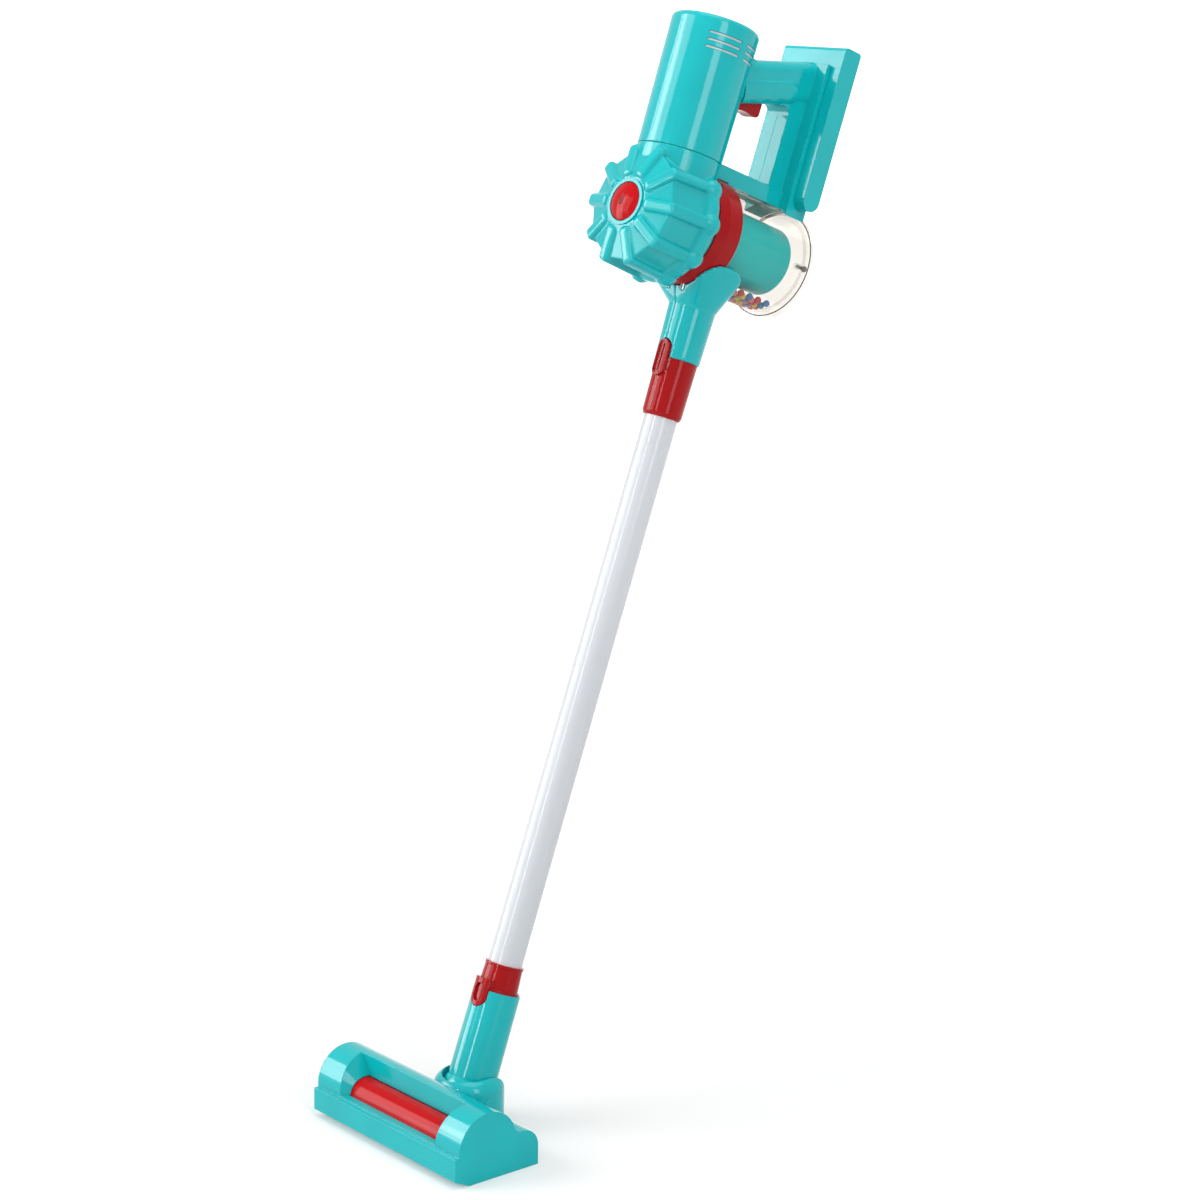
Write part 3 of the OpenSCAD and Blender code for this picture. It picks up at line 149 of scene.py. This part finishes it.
class VacuumSizes(bpy.types.PropertyGroup):
    """Sizes of edges, grain and the pieces made here"""

    shell_edge: length_of("Shell edge", "Rounding of the teal shells' moulded edges", 0.5 * MM)
    trim_edge: length_of("Trim edge", "Rounding of the red trim's edges", 0.4 * MM)
    cap_grid: length_of("Cap grid", "Mesh size of the ribbed cap's smooth skin", 0.42 * MM)
    duct_grid: length_of("Duct grid", "Mesh size of the duct halves' smooth skin", 0.60 * MM)
    softness: IntProperty(name="Softness", description="Smoothing passes on the smooth skins", default=5, min=0)
    grip_rise: length_of("Grip rise", "How far the finger grip stands proud of the handle", 1.25 * MM)
    grip_wave: length_of("Grip wave", "Depth of the finger grip's waves", 0.35 * MM)
    core_radius: length_of("Core radius", "Radius of the core's sleeve", 20.4 * MM)
    core_edge: length_of("Core edge", "Rounding of the core's back edge", 1.2 * MM)
    seam_radius: length_of("Seam radius", "Radius of the line where the lid closes", 31.4 * MM)
    seam_width: length_of("Seam width", "Width of the line where the lid closes", 0.7 * MM)
    grain: length_of("Grain", "Size of the moulded surface's fine ripple", 1.4 * MM)
    slot_width: length_of("Slot width", "Width of the hub button's slot", 3.0 * MM)
    slot_length: length_of("Slot length", "Length of the hub button's slot", 6.0 * MM)
    dome_radius: length_of("Dome radius", "Radius of the hub button's dome", 23.8 * MM)
    hub_spring_keep: share_of("Hub spring", "Share of the hub spring's length left", 0.60)
    trigger_spring_keep: share_of("Trigger spring", "Share of the trigger spring's length left", 0.84)


class VacuumStudio(bpy.types.PropertyGroup):
    """Camera and lights"""

    turn: angle_of("Turn", "Camera's turn round the toy", 48.995)
    drop: angle_of("Drop", "Camera's look down", 12.652)
    roll: angle_of("Roll", "Camera's roll", 1.068)
    lens: FloatProperty(
        name="Lens", description="Focal length in millimetres", default=86.817, subtype="DISTANCE_CAMERA"
    )
    place: FloatVectorProperty(
        name="Place",
        description="Camera's place",
        default=(1.226404, -0.940924, 0.663472),
        subtype="TRANSLATION",
        unit="LENGTH",
    )
    floor: colour_of("Floor", "Pale floor", (0.75, 0.75, 0.75))
    glow: share_of("Glow", "Share of the floor's white that no shadow takes", 0.22)
    sky: share_of("Sky", "Strength of the even studio light", 0.46)
    key: power_of("Key", "Power of the wide soft lamp at the front left", 28)
    sheen: power_of("Sheen", "Power of the panel that glosses show on the left", 30)
    strip: power_of("Strip", "Power of the narrow panel that glosses show in front", 14)
    top: power_of("Top", "Power of the soft lamp overhead", 11)
    side: power_of("Side", "Power of the soft lamp on the right", 14)


# Finishes


class Tree:
    """A new material's nodes, with short calls to add and link them."""

    def __init__(self, name):
        self.material = bpy.data.materials.new(name)
        self.material.use_nodes = True
        self.nodes = self.material.node_tree.nodes
        self.links = self.material.node_tree.links
        self.shader = self.nodes["Principled BSDF"]
        self.output = self.nodes["Material Output"]

    def add(self, kind, **values):
        node = self.nodes.new(kind)
        for key, value in values.items():
            if key in node.inputs:
                node.inputs[key].default_value = value
            else:
                setattr(node, key, value)
        return node

    def link(self, source, target):
        self.links.new(source, target)

    def set(self, **values):
        for key, value in values.items():
            self.shader.inputs[key.replace("_", " ")].default_value = value

    def noise(self, size, detail=3.0, stretch=(1, 1, 1)):
        """Noise with features of that size in metres, stretched along the toy's axes."""
        place = self.add("ShaderNodeTexCoord")
        mapping = self.add("ShaderNodeMapping")
        mapping.inputs["Scale"].default_value = stretch
        self.link(place.outputs["Object"], mapping.inputs["Vector"])
        noise = self.add("ShaderNodeTexNoise", Scale=1 / size, Detail=detail, Roughness=0.55)
        self.link(mapping.outputs["Vector"], noise.inputs["Vector"])
        return noise.outputs["Fac"]

    def spread(self, value, low, high):
        """Maps the middle of a noise to low..high."""
        ramp = self.add("ShaderNodeMapRange", clamp=True)
        ramp.inputs["From Min"].default_value = 0.3
        ramp.inputs["From Max"].default_value = 0.7
        ramp.inputs["To Min"].default_value = low
        ramp.inputs["To Max"].default_value = high
        self.link(value, ramp.inputs["Value"])
        return ramp.outputs["Result"]

    def tint(self, factor, first, second):
        """Mixes two colours by a factor and returns the socket."""
        mix = self.add("ShaderNodeMix", data_type="RGBA")
        self.link(factor, mix.inputs["Factor"])
        for index, value in ((6, first), (7, second)):
            if isinstance(value, bpy.types.NodeSocket):
                self.link(value, mix.inputs[index])
            else:
                mix.inputs[index].default_value = value
        return mix.outputs[2]

    def highlight_edges(self, radius):
        """1 along outer edges of that radius, 0 elsewhere, which paints a lighter highlight there, and the
        rounded normal.
        """
        bevel = self.add("ShaderNodeBevel", samples=6, Radius=radius)
        geometry = self.add("ShaderNodeNewGeometry")
        dot = self.add("ShaderNodeVectorMath", operation="DOT_PRODUCT")
        self.link(bevel.outputs["Normal"], dot.inputs[0])
        self.link(geometry.outputs["Normal"], dot.inputs[1])
        edge = self.add("ShaderNodeMapRange", clamp=True)
        edge.inputs["From Min"].default_value = 0.97
        edge.inputs["From Max"].default_value = 0.80
        self.link(dot.outputs["Value"], edge.inputs["Value"])
        return edge.outputs["Result"], bevel.outputs["Normal"]


def shade(colour, gain, lift=0.0):
    """The colour made lighter or darker, as RGBA."""
    return tuple(min(1.0, c * gain + lift) for c in colour) + (1.0,)


def moulded_plastic(
    name, colour, edge, rough=(0.07, 0.13), grain=1.4 * MM, ripple=0.04, stretch=(1, 1, 1), gloss=0.27
):
    """Glossy moulded plastic: slow colour drift, polished and dull patches, fine ripple, and a painted
    highlight of lighter colour along its edges.
    """
    t = Tree(name)
    t.set(Base_Color=shade(colour, 1), Roughness=sum(rough) / 2, IOR=1.49, Specular_IOR_Level=gloss)
    edge_highlight, rounded = t.highlight_edges(edge)
    drift = t.tint(t.spread(t.noise(0.035, 2, stretch), 0, 1), shade(colour, 0.955), shade(colour, 1.045))
    # Painted highlight: the colour is lifted along the rounded edges
    highlight_share = t.add("ShaderNodeMath", operation="MULTIPLY")
    highlight_share.inputs[1].default_value = 0.35
    t.link(edge_highlight, highlight_share.inputs[0])
    t.link(t.tint(highlight_share.outputs[0], drift, shade(colour, 1.06, 0.02)), t.shader.inputs["Base Color"])
    t.link(t.spread(t.noise(0.012, 4, stretch), *rough), t.shader.inputs["Roughness"])
    bump = t.add("ShaderNodeBump", Strength=ripple, Distance=0.15 * MM)
    t.link(t.noise(grain, 3, stretch), bump.inputs["Height"])
    t.link(rounded, bump.inputs["Normal"])
    t.link(bump.outputs["Normal"], t.shader.inputs["Normal"])
    return t.material


def clear_plastic(name, colour, edge_colour):
    """Thin clear plastic with faint flow lines, greyer along its walls and glossier towards its outline."""
    t = Tree(name)
    t.nodes.remove(t.shader)
    bump = t.add("ShaderNodeBump", Strength=0.05, Distance=0.2 * MM)
    t.link(t.noise(0.006, 2, (1, 0.25, 1)), bump.inputs["Height"])
    facing = t.add("ShaderNodeLayerWeight", Blend=0.12)
    through = t.add("ShaderNodeBsdfTransparent")
    t.link(t.tint(facing.outputs["Facing"], shade(colour, 1), shade(edge_colour, 1)), through.inputs["Color"])
    shine = t.add("ShaderNodeBsdfGlossy", Color=(1, 1, 1, 1))
    t.link(t.spread(t.noise(0.010, 3), 0.02, 0.08), shine.inputs["Roughness"])
    outline = t.add("ShaderNodeLayerWeight", Blend=0.10)
    mix = t.add("ShaderNodeMixShader")
    for node in (shine, outline):
        t.link(bump.outputs["Normal"], node.inputs["Normal"])
    share = t.add("ShaderNodeMath", operation="MULTIPLY")
    share.inputs[1].default_value = 0.22
    t.link(outline.outputs["Facing"], share.inputs[0])
    t.link(share.outputs[0], mix.inputs["Fac"])
    t.link(through.outputs["BSDF"], mix.inputs[1])
    t.link(shine.outputs["BSDF"], mix.inputs[2])
    t.link(mix.outputs["Shader"], t.output.inputs["Surface"])
    return t.material


def plated_metal(name, colour, rough=(0.22, 0.42)):
    """Plated metal with fine drawn scratches."""
    t = Tree(name)
    t.set(Base_Color=shade(colour, 1), Roughness=sum(rough) / 2, Metallic=1.0)
    drift = t.tint(t.spread(t.noise(0.004), 0, 1), shade(colour, 0.86), shade(colour, 1.08))
    t.link(drift, t.shader.inputs["Base Color"])
    t.link(t.spread(t.noise(0.0012, 4, (8, 1, 1)), *rough), t.shader.inputs["Roughness"])
    bump = t.add("ShaderNodeBump", Strength=0.12, Distance=0.05 * MM)
    t.link(t.noise(0.0006, 2, (10, 1, 1)), bump.inputs["Height"])
    t.link(bump.outputs["Normal"], t.shader.inputs["Normal"])
    return t.material


def foam_bead(name, colour):
    """Matt bead with the cells of pressed foam."""
    t = Tree(name)
    t.set(Base_Color=shade(colour, 1), Roughness=0.55, IOR=1.45)
    place = t.add("ShaderNodeTexCoord")
    cells = t.add("ShaderNodeTexVoronoi", Scale=1 / (0.9 * MM))
    t.link(place.outputs["Object"], cells.inputs["Vector"])
    mottle = t.tint(cells.outputs["Distance"], shade(colour, 1.1), shade(colour, 0.8))
    t.link(mottle, t.shader.inputs["Base Color"])
    t.link(t.spread(t.noise(0.002), 0.45, 0.65), t.shader.inputs["Roughness"])
    bump = t.add("ShaderNodeBump", Strength=0.3, Distance=0.12 * MM)
    bump.invert = True
    t.link(cells.outputs["Distance"], bump.inputs["Height"])
    t.link(bump.outputs["Normal"], t.shader.inputs["Normal"])
    return t.material


FINISHES = {}


def finish_of(context, name):
    """The named finish, made once."""
    if name not in FINISHES:
        c, s = context.scene.vacuum_colours, context.scene.vacuum_sizes
        edge, grain = s.trim_edge, s.grain
        drawn, turned_marks = (1, 0.15, 0.05), (0.05, 1, 1)
        makers = {
            "teal": lambda: moulded_plastic("teal_shell", c.teal, s.shell_edge, grain=grain),
            # Painted light: the lighter teal of the core and the sole plate
            "core": lambda: moulded_plastic("teal_core_lit", c.core_teal_lit, edge, (0.26, 0.38), grain),
            "red": lambda: moulded_plastic("red_trim", c.red, edge, (0.07, 0.13), grain, gloss=0.12),
            "hub": lambda: moulded_plastic("red_hub", c.bright_red, edge, (0.06, 0.12), grain, gloss=0.07),
            # Painted shade: the finish of the slot's dark inlay
            "slot": lambda: moulded_plastic("red_slot_shade", c.slot_shade_red, edge, (0.20, 0.30), grain, gloss=0.05),
            "roller": lambda: moulded_plastic(
                "red_roller", c.bright_red, edge, (0.06, 0.11), 0.8 * MM, 0.03, turned_marks, 0.07
            ),
            "tube": lambda: moulded_plastic("white_tube", c.tube, edge, (0.10, 0.18), 0.9 * MM, 0.05, drawn),
            "clear": lambda: clear_plastic("clear_bin", c.clear, c.clear_edge),
            # Painted shade: the finish of the dark ring in the lid's seam
            "seam_shade": lambda: moulded_plastic("painted_seam_shade", c.seam_shade, edge, (0.20, 0.35), grain),
            "metal": lambda: plated_metal("plated_steel", c.metal),
            "brass": lambda: plated_metal("spring_brass", c.brass),
            "dark": lambda: moulded_plastic("dark_fitting", c.dark, edge, (0.40, 0.55), 0.7 * MM, 0.10),
            "board": lambda: moulded_plastic("lacquered_board", c.board, edge, (0.28, 0.40), 0.6 * MM, 0.12),
            "bead_red": lambda: foam_bead("bead_red", c.bead_red),
            "bead_yellow": lambda: foam_bead("bead_yellow", c.bead_yellow),
            "bead_blue": lambda: foam_bead("bead_blue", c.bead_blue),
            "bead_pink": lambda: foam_bead("bead_pink", c.bead_pink),
        }
        FINISHES[name] = makers[name]()
    return FINISHES[name]


# Helpers for pieces


def coat(context, finish, mesh):
    """Gives a mesh one finish alone."""
    mesh.materials.clear()
    mesh.materials.append(finish_of(context, finish))


def dress(context, finish, *names):
    """Gives solids a finish."""
    for name in names:
        coat(context, finish, NODES[name].data)


def new_piece(context, finish, name, mesh):
    """A new piece of that mesh, with a finish."""
    piece = bpy.data.objects.new(name, mesh)
    context.scene.collection.objects.link(piece)
    coat(context, finish, mesh)
    return piece


def built(name, build):
    """The mesh that a bmesh holds, which is freed."""
    mesh = bpy.data.meshes.new(name)
    build.to_mesh(mesh)
    build.free()
    return mesh


def smooth_skin(context, finish, node, body, grid):
    """A smooth skin with rounded edges that stands for a faceted solid and moves with its body."""
    skin = new_piece(context, finish, node + "_skin", NODES[node].data.copy())
    remesh = skin.modifiers.new("even_mesh", "REMESH")
    remesh.mode = "VOXEL"
    remesh.voxel_size = grid
    remesh.use_smooth_shade = True
    soft = skin.modifiers.new("rounded_edges", "SMOOTH")
    soft.factor = 0.5
    soft.iterations = context.scene.vacuum_sizes.softness
    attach(skin, body)
    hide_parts(node)


def along_bin(node):
    """Where a solid starts and ends along the bin's axis."""
    reach = [(v.co - BIN_CENTRE).dot(BIN_AXIS) for v in NODES[node].data.vertices]
    return min(reach), max(reach)


def turned(context, finish, name, profile, steps=96):
    """A smooth piece turned about the bin's axis from points of radius and place along it."""
    build = bmesh.new()
    rings = []
    for i in range(steps):
        turn = 2 * math.pi * i / steps
        out = ACROSS * math.cos(turn) + BIN_UP * math.sin(turn)
        rings.append([build.verts.new(BIN_CENTRE + out * r + BIN_AXIS * z) for r, z in profile])
    for i, ring in enumerate(rings):
        following = rings[(i + 1) % steps]
        for j in range(len(profile) - 1):
            build.faces.new((ring[j], following[j], following[j + 1], ring[j + 1])).smooth = True
    bmesh.ops.recalc_face_normals(build, faces=build.faces)
    return new_piece(context, finish, name, built(name, build))


def spring_of(context, node, axis):
    """A coil that stands for a solid spring, a copy of its mesh fixed to the hand unit."""
    coil = new_piece(context, "metal", node + "_coil", NODES[node].data.copy())
    fixed_end = max((v.co for v in coil.data.vertices), key=axis.dot).copy()
    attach(coil, "hand_unit")
    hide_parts(node)
    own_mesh(coil)


# Pieces


class VACUUM_OT_floor_head(bpy.types.Operator):
    """Finish the floor head with its sole plate, roller and pins"""

    bl_idname = "vacuum.floor_head"
    bl_label = "Floor head"

    def execute(self, context):
        dress(context, "teal", "head_shell")
        dress(context, "core", "sole_plate")
        dress(context, "roller", "roller")
        dress(context, "metal", "sole_screws", "roller_axle", "neck_pin")
        return {"FINISHED"}


class VACUUM_OT_wand(bpy.types.Operator):
    """Finish the neck, the wand tube and its two collars"""

    bl_idname = "vacuum.wand"
    bl_label = "Neck and wand"

    def execute(self, context):
        dress(context, "teal", "neck")
        dress(context, "red", "lower_collar", "upper_collar")
        dress(context, "tube", "wand_tube")
        return {"FINISHED"}


class VACUUM_OT_hand_unit(bpy.types.Operator):
    """Finish the duct and the hand unit's housing with what is inside it"""

    bl_idname = "vacuum.hand_unit"
    bl_label = "Hand unit"

    def execute(self, context):
        for half in ("duct_left", "duct_right"):
            smooth_skin(context, "teal", half, "hand_unit", context.scene.vacuum_sizes.duct_grid)
        dress(context, "teal", "left_housing", "right_housing")
        dress(context, "tube", "vent_liner")
        dress(context, "dark", "speaker", "switch")
        dress(context, "board", "circuit_board")
        dress(context, "red", "trigger")
        dress(context, "metal", "duct_screws", "housing_screws", "trigger_pin")
        spring_of(context, "trigger_spring", BIN_UP)
        return {"FINISHED"}


class VACUUM_OT_finger_grip(bpy.types.Operator):
    """Model the rounded finger grip along the lower half of the handle"""

    bl_idname = "vacuum.finger_grip"
    bl_label = "Finger grip"

    def execute(self, context):
        for side, name in ((-1, "finger_grip_left"), (1, "finger_grip_right")):
            build = bmesh.new()
            grid = [
                [
                    build.verts.new(self.point(context, side, i / GRIP_ROWS, j / GRIP_COLUMNS))
                    for j in range(GRIP_COLUMNS + 1)
                ]
                for i in range(GRIP_ROWS + 1)
            ]
            for i in range(GRIP_ROWS):
                for j in range(GRIP_COLUMNS):
                    corners = (grid[i][j], grid[i + 1][j], grid[i + 1][j + 1], grid[i][j + 1])
                    build.faces.new(corners if side < 0 else corners[::-1]).smooth = True
            grip = new_piece(context, "teal", name, built(name, build))
            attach(grip, "hand_unit")
        return {"FINISHED"}

    def point(self, context, side, u, v):
        """A point of the grip, from the motor housing to its round end and from the side to the underside."""
        sizes = context.scene.vacuum_sizes
        half = (GRIP_FLAT + HANDLE_CORNER * GRIP_WRAP) / 2
        along = GRIP_START + u * (GRIP_END - GRIP_START)
        down = v * 2 * half
        edge = math.hypot(max(along - (GRIP_END - half), 0), down - half) / half
        fade = min(max((edge - (1 - GRIP_FADE)) / GRIP_FADE, 0), 1)
        rise = sizes.grip_rise * (1 - fade * fade * (3 - 2 * fade)) - GRIP_SINK
        rise += sizes.grip_wave * math.cos(along / GRIP_WAVE_STEP) * v * v * (1 - fade)
        if down < GRIP_FLAT:
            out, up = HANDLE_HALF + rise, GRIP_TOP - down
        else:
            bend = (down - GRIP_FLAT) / HANDLE_CORNER
            out = HANDLE_HALF - HANDLE_CORNER + (HANDLE_CORNER + rise) * math.cos(bend)
            up = GRIP_TOP - GRIP_FLAT - (HANDLE_CORNER + rise) * math.sin(bend)
        back = HANDLE_BACK + along * math.cos(HANDLE_TILT) - up * math.sin(HANDLE_TILT)
        height = HANDLE_HEIGHT + along * math.sin(HANDLE_TILT) + up * math.cos(HANDLE_TILT)
        return PIVOT + ACROSS * side * out + BIN_AXIS * back + BIN_UP * height


class VACUUM_OT_cyclone(bpy.types.Operator):
    """Finish the ribbed cyclone cap with its hub button"""

    bl_idname = "vacuum.cyclone"
    bl_label = "Cyclone cap"

    def execute(self, context):
        smooth_skin(context, "teal", "cyclone_cap", "hand_unit", context.scene.vacuum_sizes.cap_grid)
        dress(context, "teal", "hub_ring")
        dress(context, "hub", "hub_button")
        dress(context, "metal", "cap_screws")
        spring_of(context, "hub_spring", BIN_AXIS)
        self.slot(context)
        return {"FINISHED"}

    def slot(self, context):
        """The slot in the hub button: a dark inlay that follows the dome and paints the shade of the slot's
        recess.
        """
        sizes = context.scene.vacuum_sizes
        r, reach = sizes.slot_width / 2, (sizes.slot_length - sizes.slot_width) / 2
        long_axis = ACROSS * math.sin(SLOT_SLANT) + BIN_UP * math.cos(SLOT_SLANT)
        short_axis = ACROSS * math.cos(SLOT_SLANT) - BIN_UP * math.sin(SLOT_SLANT)
        front = along_bin("hub_button")[0]
        build = bmesh.new()
        top, foot = [], []
        for i in range(SLOT_STEPS):
            turn = 2 * math.pi * (i + 0.5) / SLOT_STEPS
            across = r * math.cos(turn)
            along = r * math.sin(turn) + math.copysign(reach, math.sin(turn))
            flat = BIN_CENTRE + short_axis * across + long_axis * along
            sag = (across * across + along * along) / (2 * sizes.dome_radius)
            top.append(build.verts.new(flat + BIN_AXIS * (front + sag - SLOT_PROUD)))
            foot.append(build.verts.new(flat + BIN_AXIS * (front + sag + SLOT_DEPTH)))
        build.faces.new(top)
        build.faces.new(foot)
        for i in range(SLOT_STEPS):
            j = (i + 1) % SLOT_STEPS
            build.faces.new((top[i], top[j], foot[j], foot[i]))
        bmesh.ops.recalc_face_normals(build, faces=build.faces)
        inlay = new_piece(context, "slot", "hub_slot_shade", built("hub_slot_shade", build))
        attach(inlay, "hub_button")


class VACUUM_OT_bin(bpy.types.Operator):
    """Finish the clear bin, its ring, lid and core, and the loose beads"""

    bl_idname = "vacuum.bin"
    bl_label = "Bead bin"

    def execute(self, context):
        dress(context, "clear", "bin", "bin_lid")
        dress(context, "red", "bin_ring")
        dress(context, "tube", "lid_screws")
        self.core(context)
        self.seam(context)
        for colour in ("red", "yellow", "blue", "pink"):
            dress(context, "bead_" + colour, "beads_" + colour)
        return {"FINISHED"}

    def core(self, context):
        """The core's sleeve: a tapered tube with a rounded back edge and a shallow dished end."""
        sizes = context.scene.vacuum_sizes
        front, back = along_bin("bin_core")
        r, edge = sizes.core_radius, sizes.core_edge
        rounding = [math.radians(90 - 15 * i) for i in range(7)]
        arc = [(r - edge + edge * math.sin(a), back - edge + edge * math.cos(a)) for a in rounding]
        rim, floor = r - 3 * MM, back - 0.8 * MM
        profile = [(r + 0.4 * MM, front), (r + 0.3 * MM, (front + back) / 2), *arc]
        profile += [(rim, back), (rim - 0.6 * MM, floor), (0.2 * MM, floor)]
        sleeve = turned(context, "core", "core_sleeve", profile)
        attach(sleeve, "hand_unit")
        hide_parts("bin_core")

    def seam(self, context):
        """The thin dark ring where the lid closes on the bin, which paints the shade in the seam."""
        sizes = context.scene.vacuum_sizes
        back = along_bin("bin")[1]
        r, half = sizes.seam_radius, sizes.seam_width / 2
        round_wire = [math.radians(45 * i) for i in range(9)]
        ring = [(r + half * math.cos(a), back + half * math.sin(a)) for a in round_wire]
        seam = turned(context, "seam_shade", "lid_seam_shade", ring)
        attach(seam, "hand_unit")


class VACUUM_OT_battery_box(bpy.types.Operator):
    """Finish the battery box with its door, cells and contacts"""

    bl_idname = "vacuum.battery_box"
    bl_label = "Battery box"

    def execute(self, context):
        dress(context, "teal", "battery_box", "battery_door")
        dress(context, "metal", "box_screws", "door_screw")
        dress(context, "dark", "battery_cells")
        dress(context, "brass", "battery_contacts")
        return {"FINISHED"}


class VACUUM_OT_studio(bpy.types.Operator):
    """Set up the pale floor, the soft lamps and the camera"""

    bl_idname = "vacuum.studio"
    bl_label = "Studio"

    def execute(self, context):
        studio = context.scene.vacuum_studio
        self.floor(context, studio)
        self.sky(context, studio)
        self.lamp(context, "key_lamp", (-1.05, -1.55, 1.15), 1.2, 1.4, studio.key)
        self.lamp(context, "top_lamp", (0.2, 0.2, 1.9), 1.2, 1.2, studio.top)
        self.lamp(context, "side_lamp", (1.9, -0.35, 1.2), 0.6, 1.2, studio.side)
        for name, place, width, power in (
            ("sheen_panel", (-1.33, -1.00, 0.76), 0.80, studio.sheen),
            ("strip_panel", (0.26, -1.75, 0.75), 0.22, studio.strip),
        ):
            self.lamp(context, name, place, width, 1.4, power).visible_diffuse = False
        self.camera(context, studio)
        context.scene.view_settings.view_transform = "Standard"
        return {"FINISHED"}

    def floor(self, context, studio):
        """A pale floor that keeps the toy's shadow and turns to plain white further away."""
        mesh = bpy.data.meshes.new("floor")
        reach = 40.0
        corners = [(-reach, -reach, 0), (reach, -reach, 0), (reach, reach, 0), (-reach, reach, 0)]
        mesh.from_pydata(corners, [], [(0, 1, 2, 3)])
        floor = bpy.data.objects.new("floor", mesh)
        context.scene.collection.objects.link(floor)
        t = Tree("pale_floor")
        t.set(Base_Color=shade(studio.floor, 1), Roughness=0.9)
        drift = t.tint(t.spread(t.noise(0.2), 0, 1), shade(studio.floor, 0.99), shade(studio.floor, 1.01))
        t.link(drift, t.shader.inputs["Base Color"])
        glow = t.add("ShaderNodeEmission", Color=(1, 1, 1, 1))
        place = t.add("ShaderNodeTexCoord")
        away = t.add("ShaderNodeVectorMath", operation="LENGTH")
        t.link(place.outputs["Object"], away.inputs[0])
        whiter = t.add("ShaderNodeMapRange", clamp=True)
        for key, value in (("From Min", 0.3), ("From Max", 1.2), ("To Min", studio.glow), ("To Max", 1.0)):
            whiter.inputs[key].default_value = value
        t.link(away.outputs["Value"], whiter.inputs["Value"])
        strength = t.add("ShaderNodeMath", operation="MULTIPLY")
        t.link(whiter.outputs["Result"], strength.inputs[1])
        t.link(self.seen(t.nodes, t.links), strength.inputs[0])
        t.link(strength.outputs[0], glow.inputs["Strength"])
        both = t.add("ShaderNodeAddShader")
        t.link(t.shader.outputs["BSDF"], both.inputs[0])
        t.link(glow.outputs["Emission"], both.inputs[1])
        t.link(both.outputs["Shader"], t.output.inputs["Surface"])
        mesh.materials.append(t.material)

    def seen(self, nodes, links):
        """1 for rays that show the background, straight, in a gloss or through a clear wall, otherwise 0."""
        path = nodes.new("ShaderNodeLightPath")
        result = path.outputs["Is Camera Ray"]
        for ray in ("Is Glossy Ray", "Is Transmission Ray"):
            either = nodes.new("ShaderNodeMath")
            either.operation = "MAXIMUM"
            links.new(result, either.inputs[0])
            links.new(path.outputs[ray], either.inputs[1])
            result = either.outputs[0]
        return result

    def sky(self, context, studio):
        """Even light all round, which the background shows as plain white."""
        world = bpy.data.worlds.new("studio_sky")
        context.scene.world = world
        world.use_nodes = True
        nodes, links = world.node_tree.nodes, world.node_tree.links
        ground = nodes["Background"]
        ground.inputs["Color"].default_value = (1, 1, 1, 1)
        strength = nodes.new("ShaderNodeMapRange")
        strength.inputs["To Min"].default_value = studio.sky
        strength.inputs["To Max"].default_value = 1.0
        links.new(self.seen(nodes, links), strength.inputs["Value"])
        links.new(strength.outputs["Result"], ground.inputs["Strength"])

    def lamp(self, context, name, place, width, height, power):
        """A soft panel of light that faces the toy."""
        data = bpy.data.lights.new(name, "AREA")
        data.shape = "RECTANGLE"
        data.size, data.size_y, data.energy = width, height, power
        lamp = bpy.data.objects.new(name, data)
        lamp.location = place
        lamp.rotation_mode = "QUATERNION"
        lamp.rotation_quaternion = (AIM - Vector(place)).to_track_quat("-Z", "Y")
        context.scene.collection.objects.link(lamp)
        return lamp

    def camera(self, context, studio):
        """The camera at the photograph's viewing angle."""
        data = bpy.data.cameras.new("camera")
        data.lens, data.sensor_width = studio.lens, 36.0
        data.clip_start, data.clip_end = 0.05, 100.0
        camera = bpy.data.objects.new("camera", data)
        a, p, r = studio.turn, studio.drop, studio.roll
        back = Vector((math.sin(a) * math.cos(p), -math.cos(a) * math.cos(p), math.sin(p)))
        right = Vector((math.cos(a), math.sin(a), 0))
        up = back.cross(right)
        side = right * math.cos(r) + up * math.sin(r)
        head = up * math.cos(r) - right * math.sin(r)
        turned_to = Matrix((side, head, back)).transposed().to_4x4()
        camera.matrix_world = Matrix.Translation(studio.place) @ turned_to
        context.scene.collection.objects.link(camera)
        context.scene.camera = camera


class VACUUM_PT_panel(bpy.types.Panel):
    """Lists the steps and settings in the sidebar"""

    bl_idname = "VACUUM_PT_panel"
    bl_label = "Toy vacuum cleaner"
    bl_space_type = "VIEW_3D"
    bl_region_type = "UI"
    bl_category = "Vacuum"

    def draw(self, context):
        column = self.layout.column(align=True)
        for operator in OPERATORS:
            column.operator(operator.bl_idname)
        for group in (context.scene.vacuum_colours, context.scene.vacuum_sizes, context.scene.vacuum_studio):
            box = self.layout.box()
            for key in group.bl_rna.properties.keys():
                if key not in ("rna_type", "name"):
                    box.prop(group, key)


OPERATORS = (
    VACUUM_OT_floor_head, VACUUM_OT_wand, VACUUM_OT_hand_unit, VACUUM_OT_finger_grip, VACUUM_OT_cyclone,
    VACUUM_OT_bin, VACUUM_OT_battery_box, VACUUM_OT_studio,
)
GROUPS = {"vacuum_colours": VacuumColours, "vacuum_sizes": VacuumSizes, "vacuum_studio": VacuumStudio}


def register():
    for cls in (*GROUPS.values(), *OPERATORS, VACUUM_PT_panel):
        bpy.utils.register_class(cls)
    for name, group in GROUPS.items():
        setattr(bpy.types.Scene, name, PointerProperty(type=group))


def unregister():
    for name in GROUPS:
        delattr(bpy.types.Scene, name)
    for cls in reversed((*GROUPS.values(), *OPERATORS, VACUUM_PT_panel)):
        bpy.utils.unregister_class(cls)


def main():
    register()
    bpy.ops.vacuum.floor_head()
    bpy.ops.vacuum.wand()
    bpy.ops.vacuum.hand_unit()
    bpy.ops.vacuum.finger_grip()
    bpy.ops.vacuum.cyclone()
    bpy.ops.vacuum.bin()
    bpy.ops.vacuum.battery_box()
    bpy.ops.vacuum.studio()


if __name__ == "__main__":
    main()
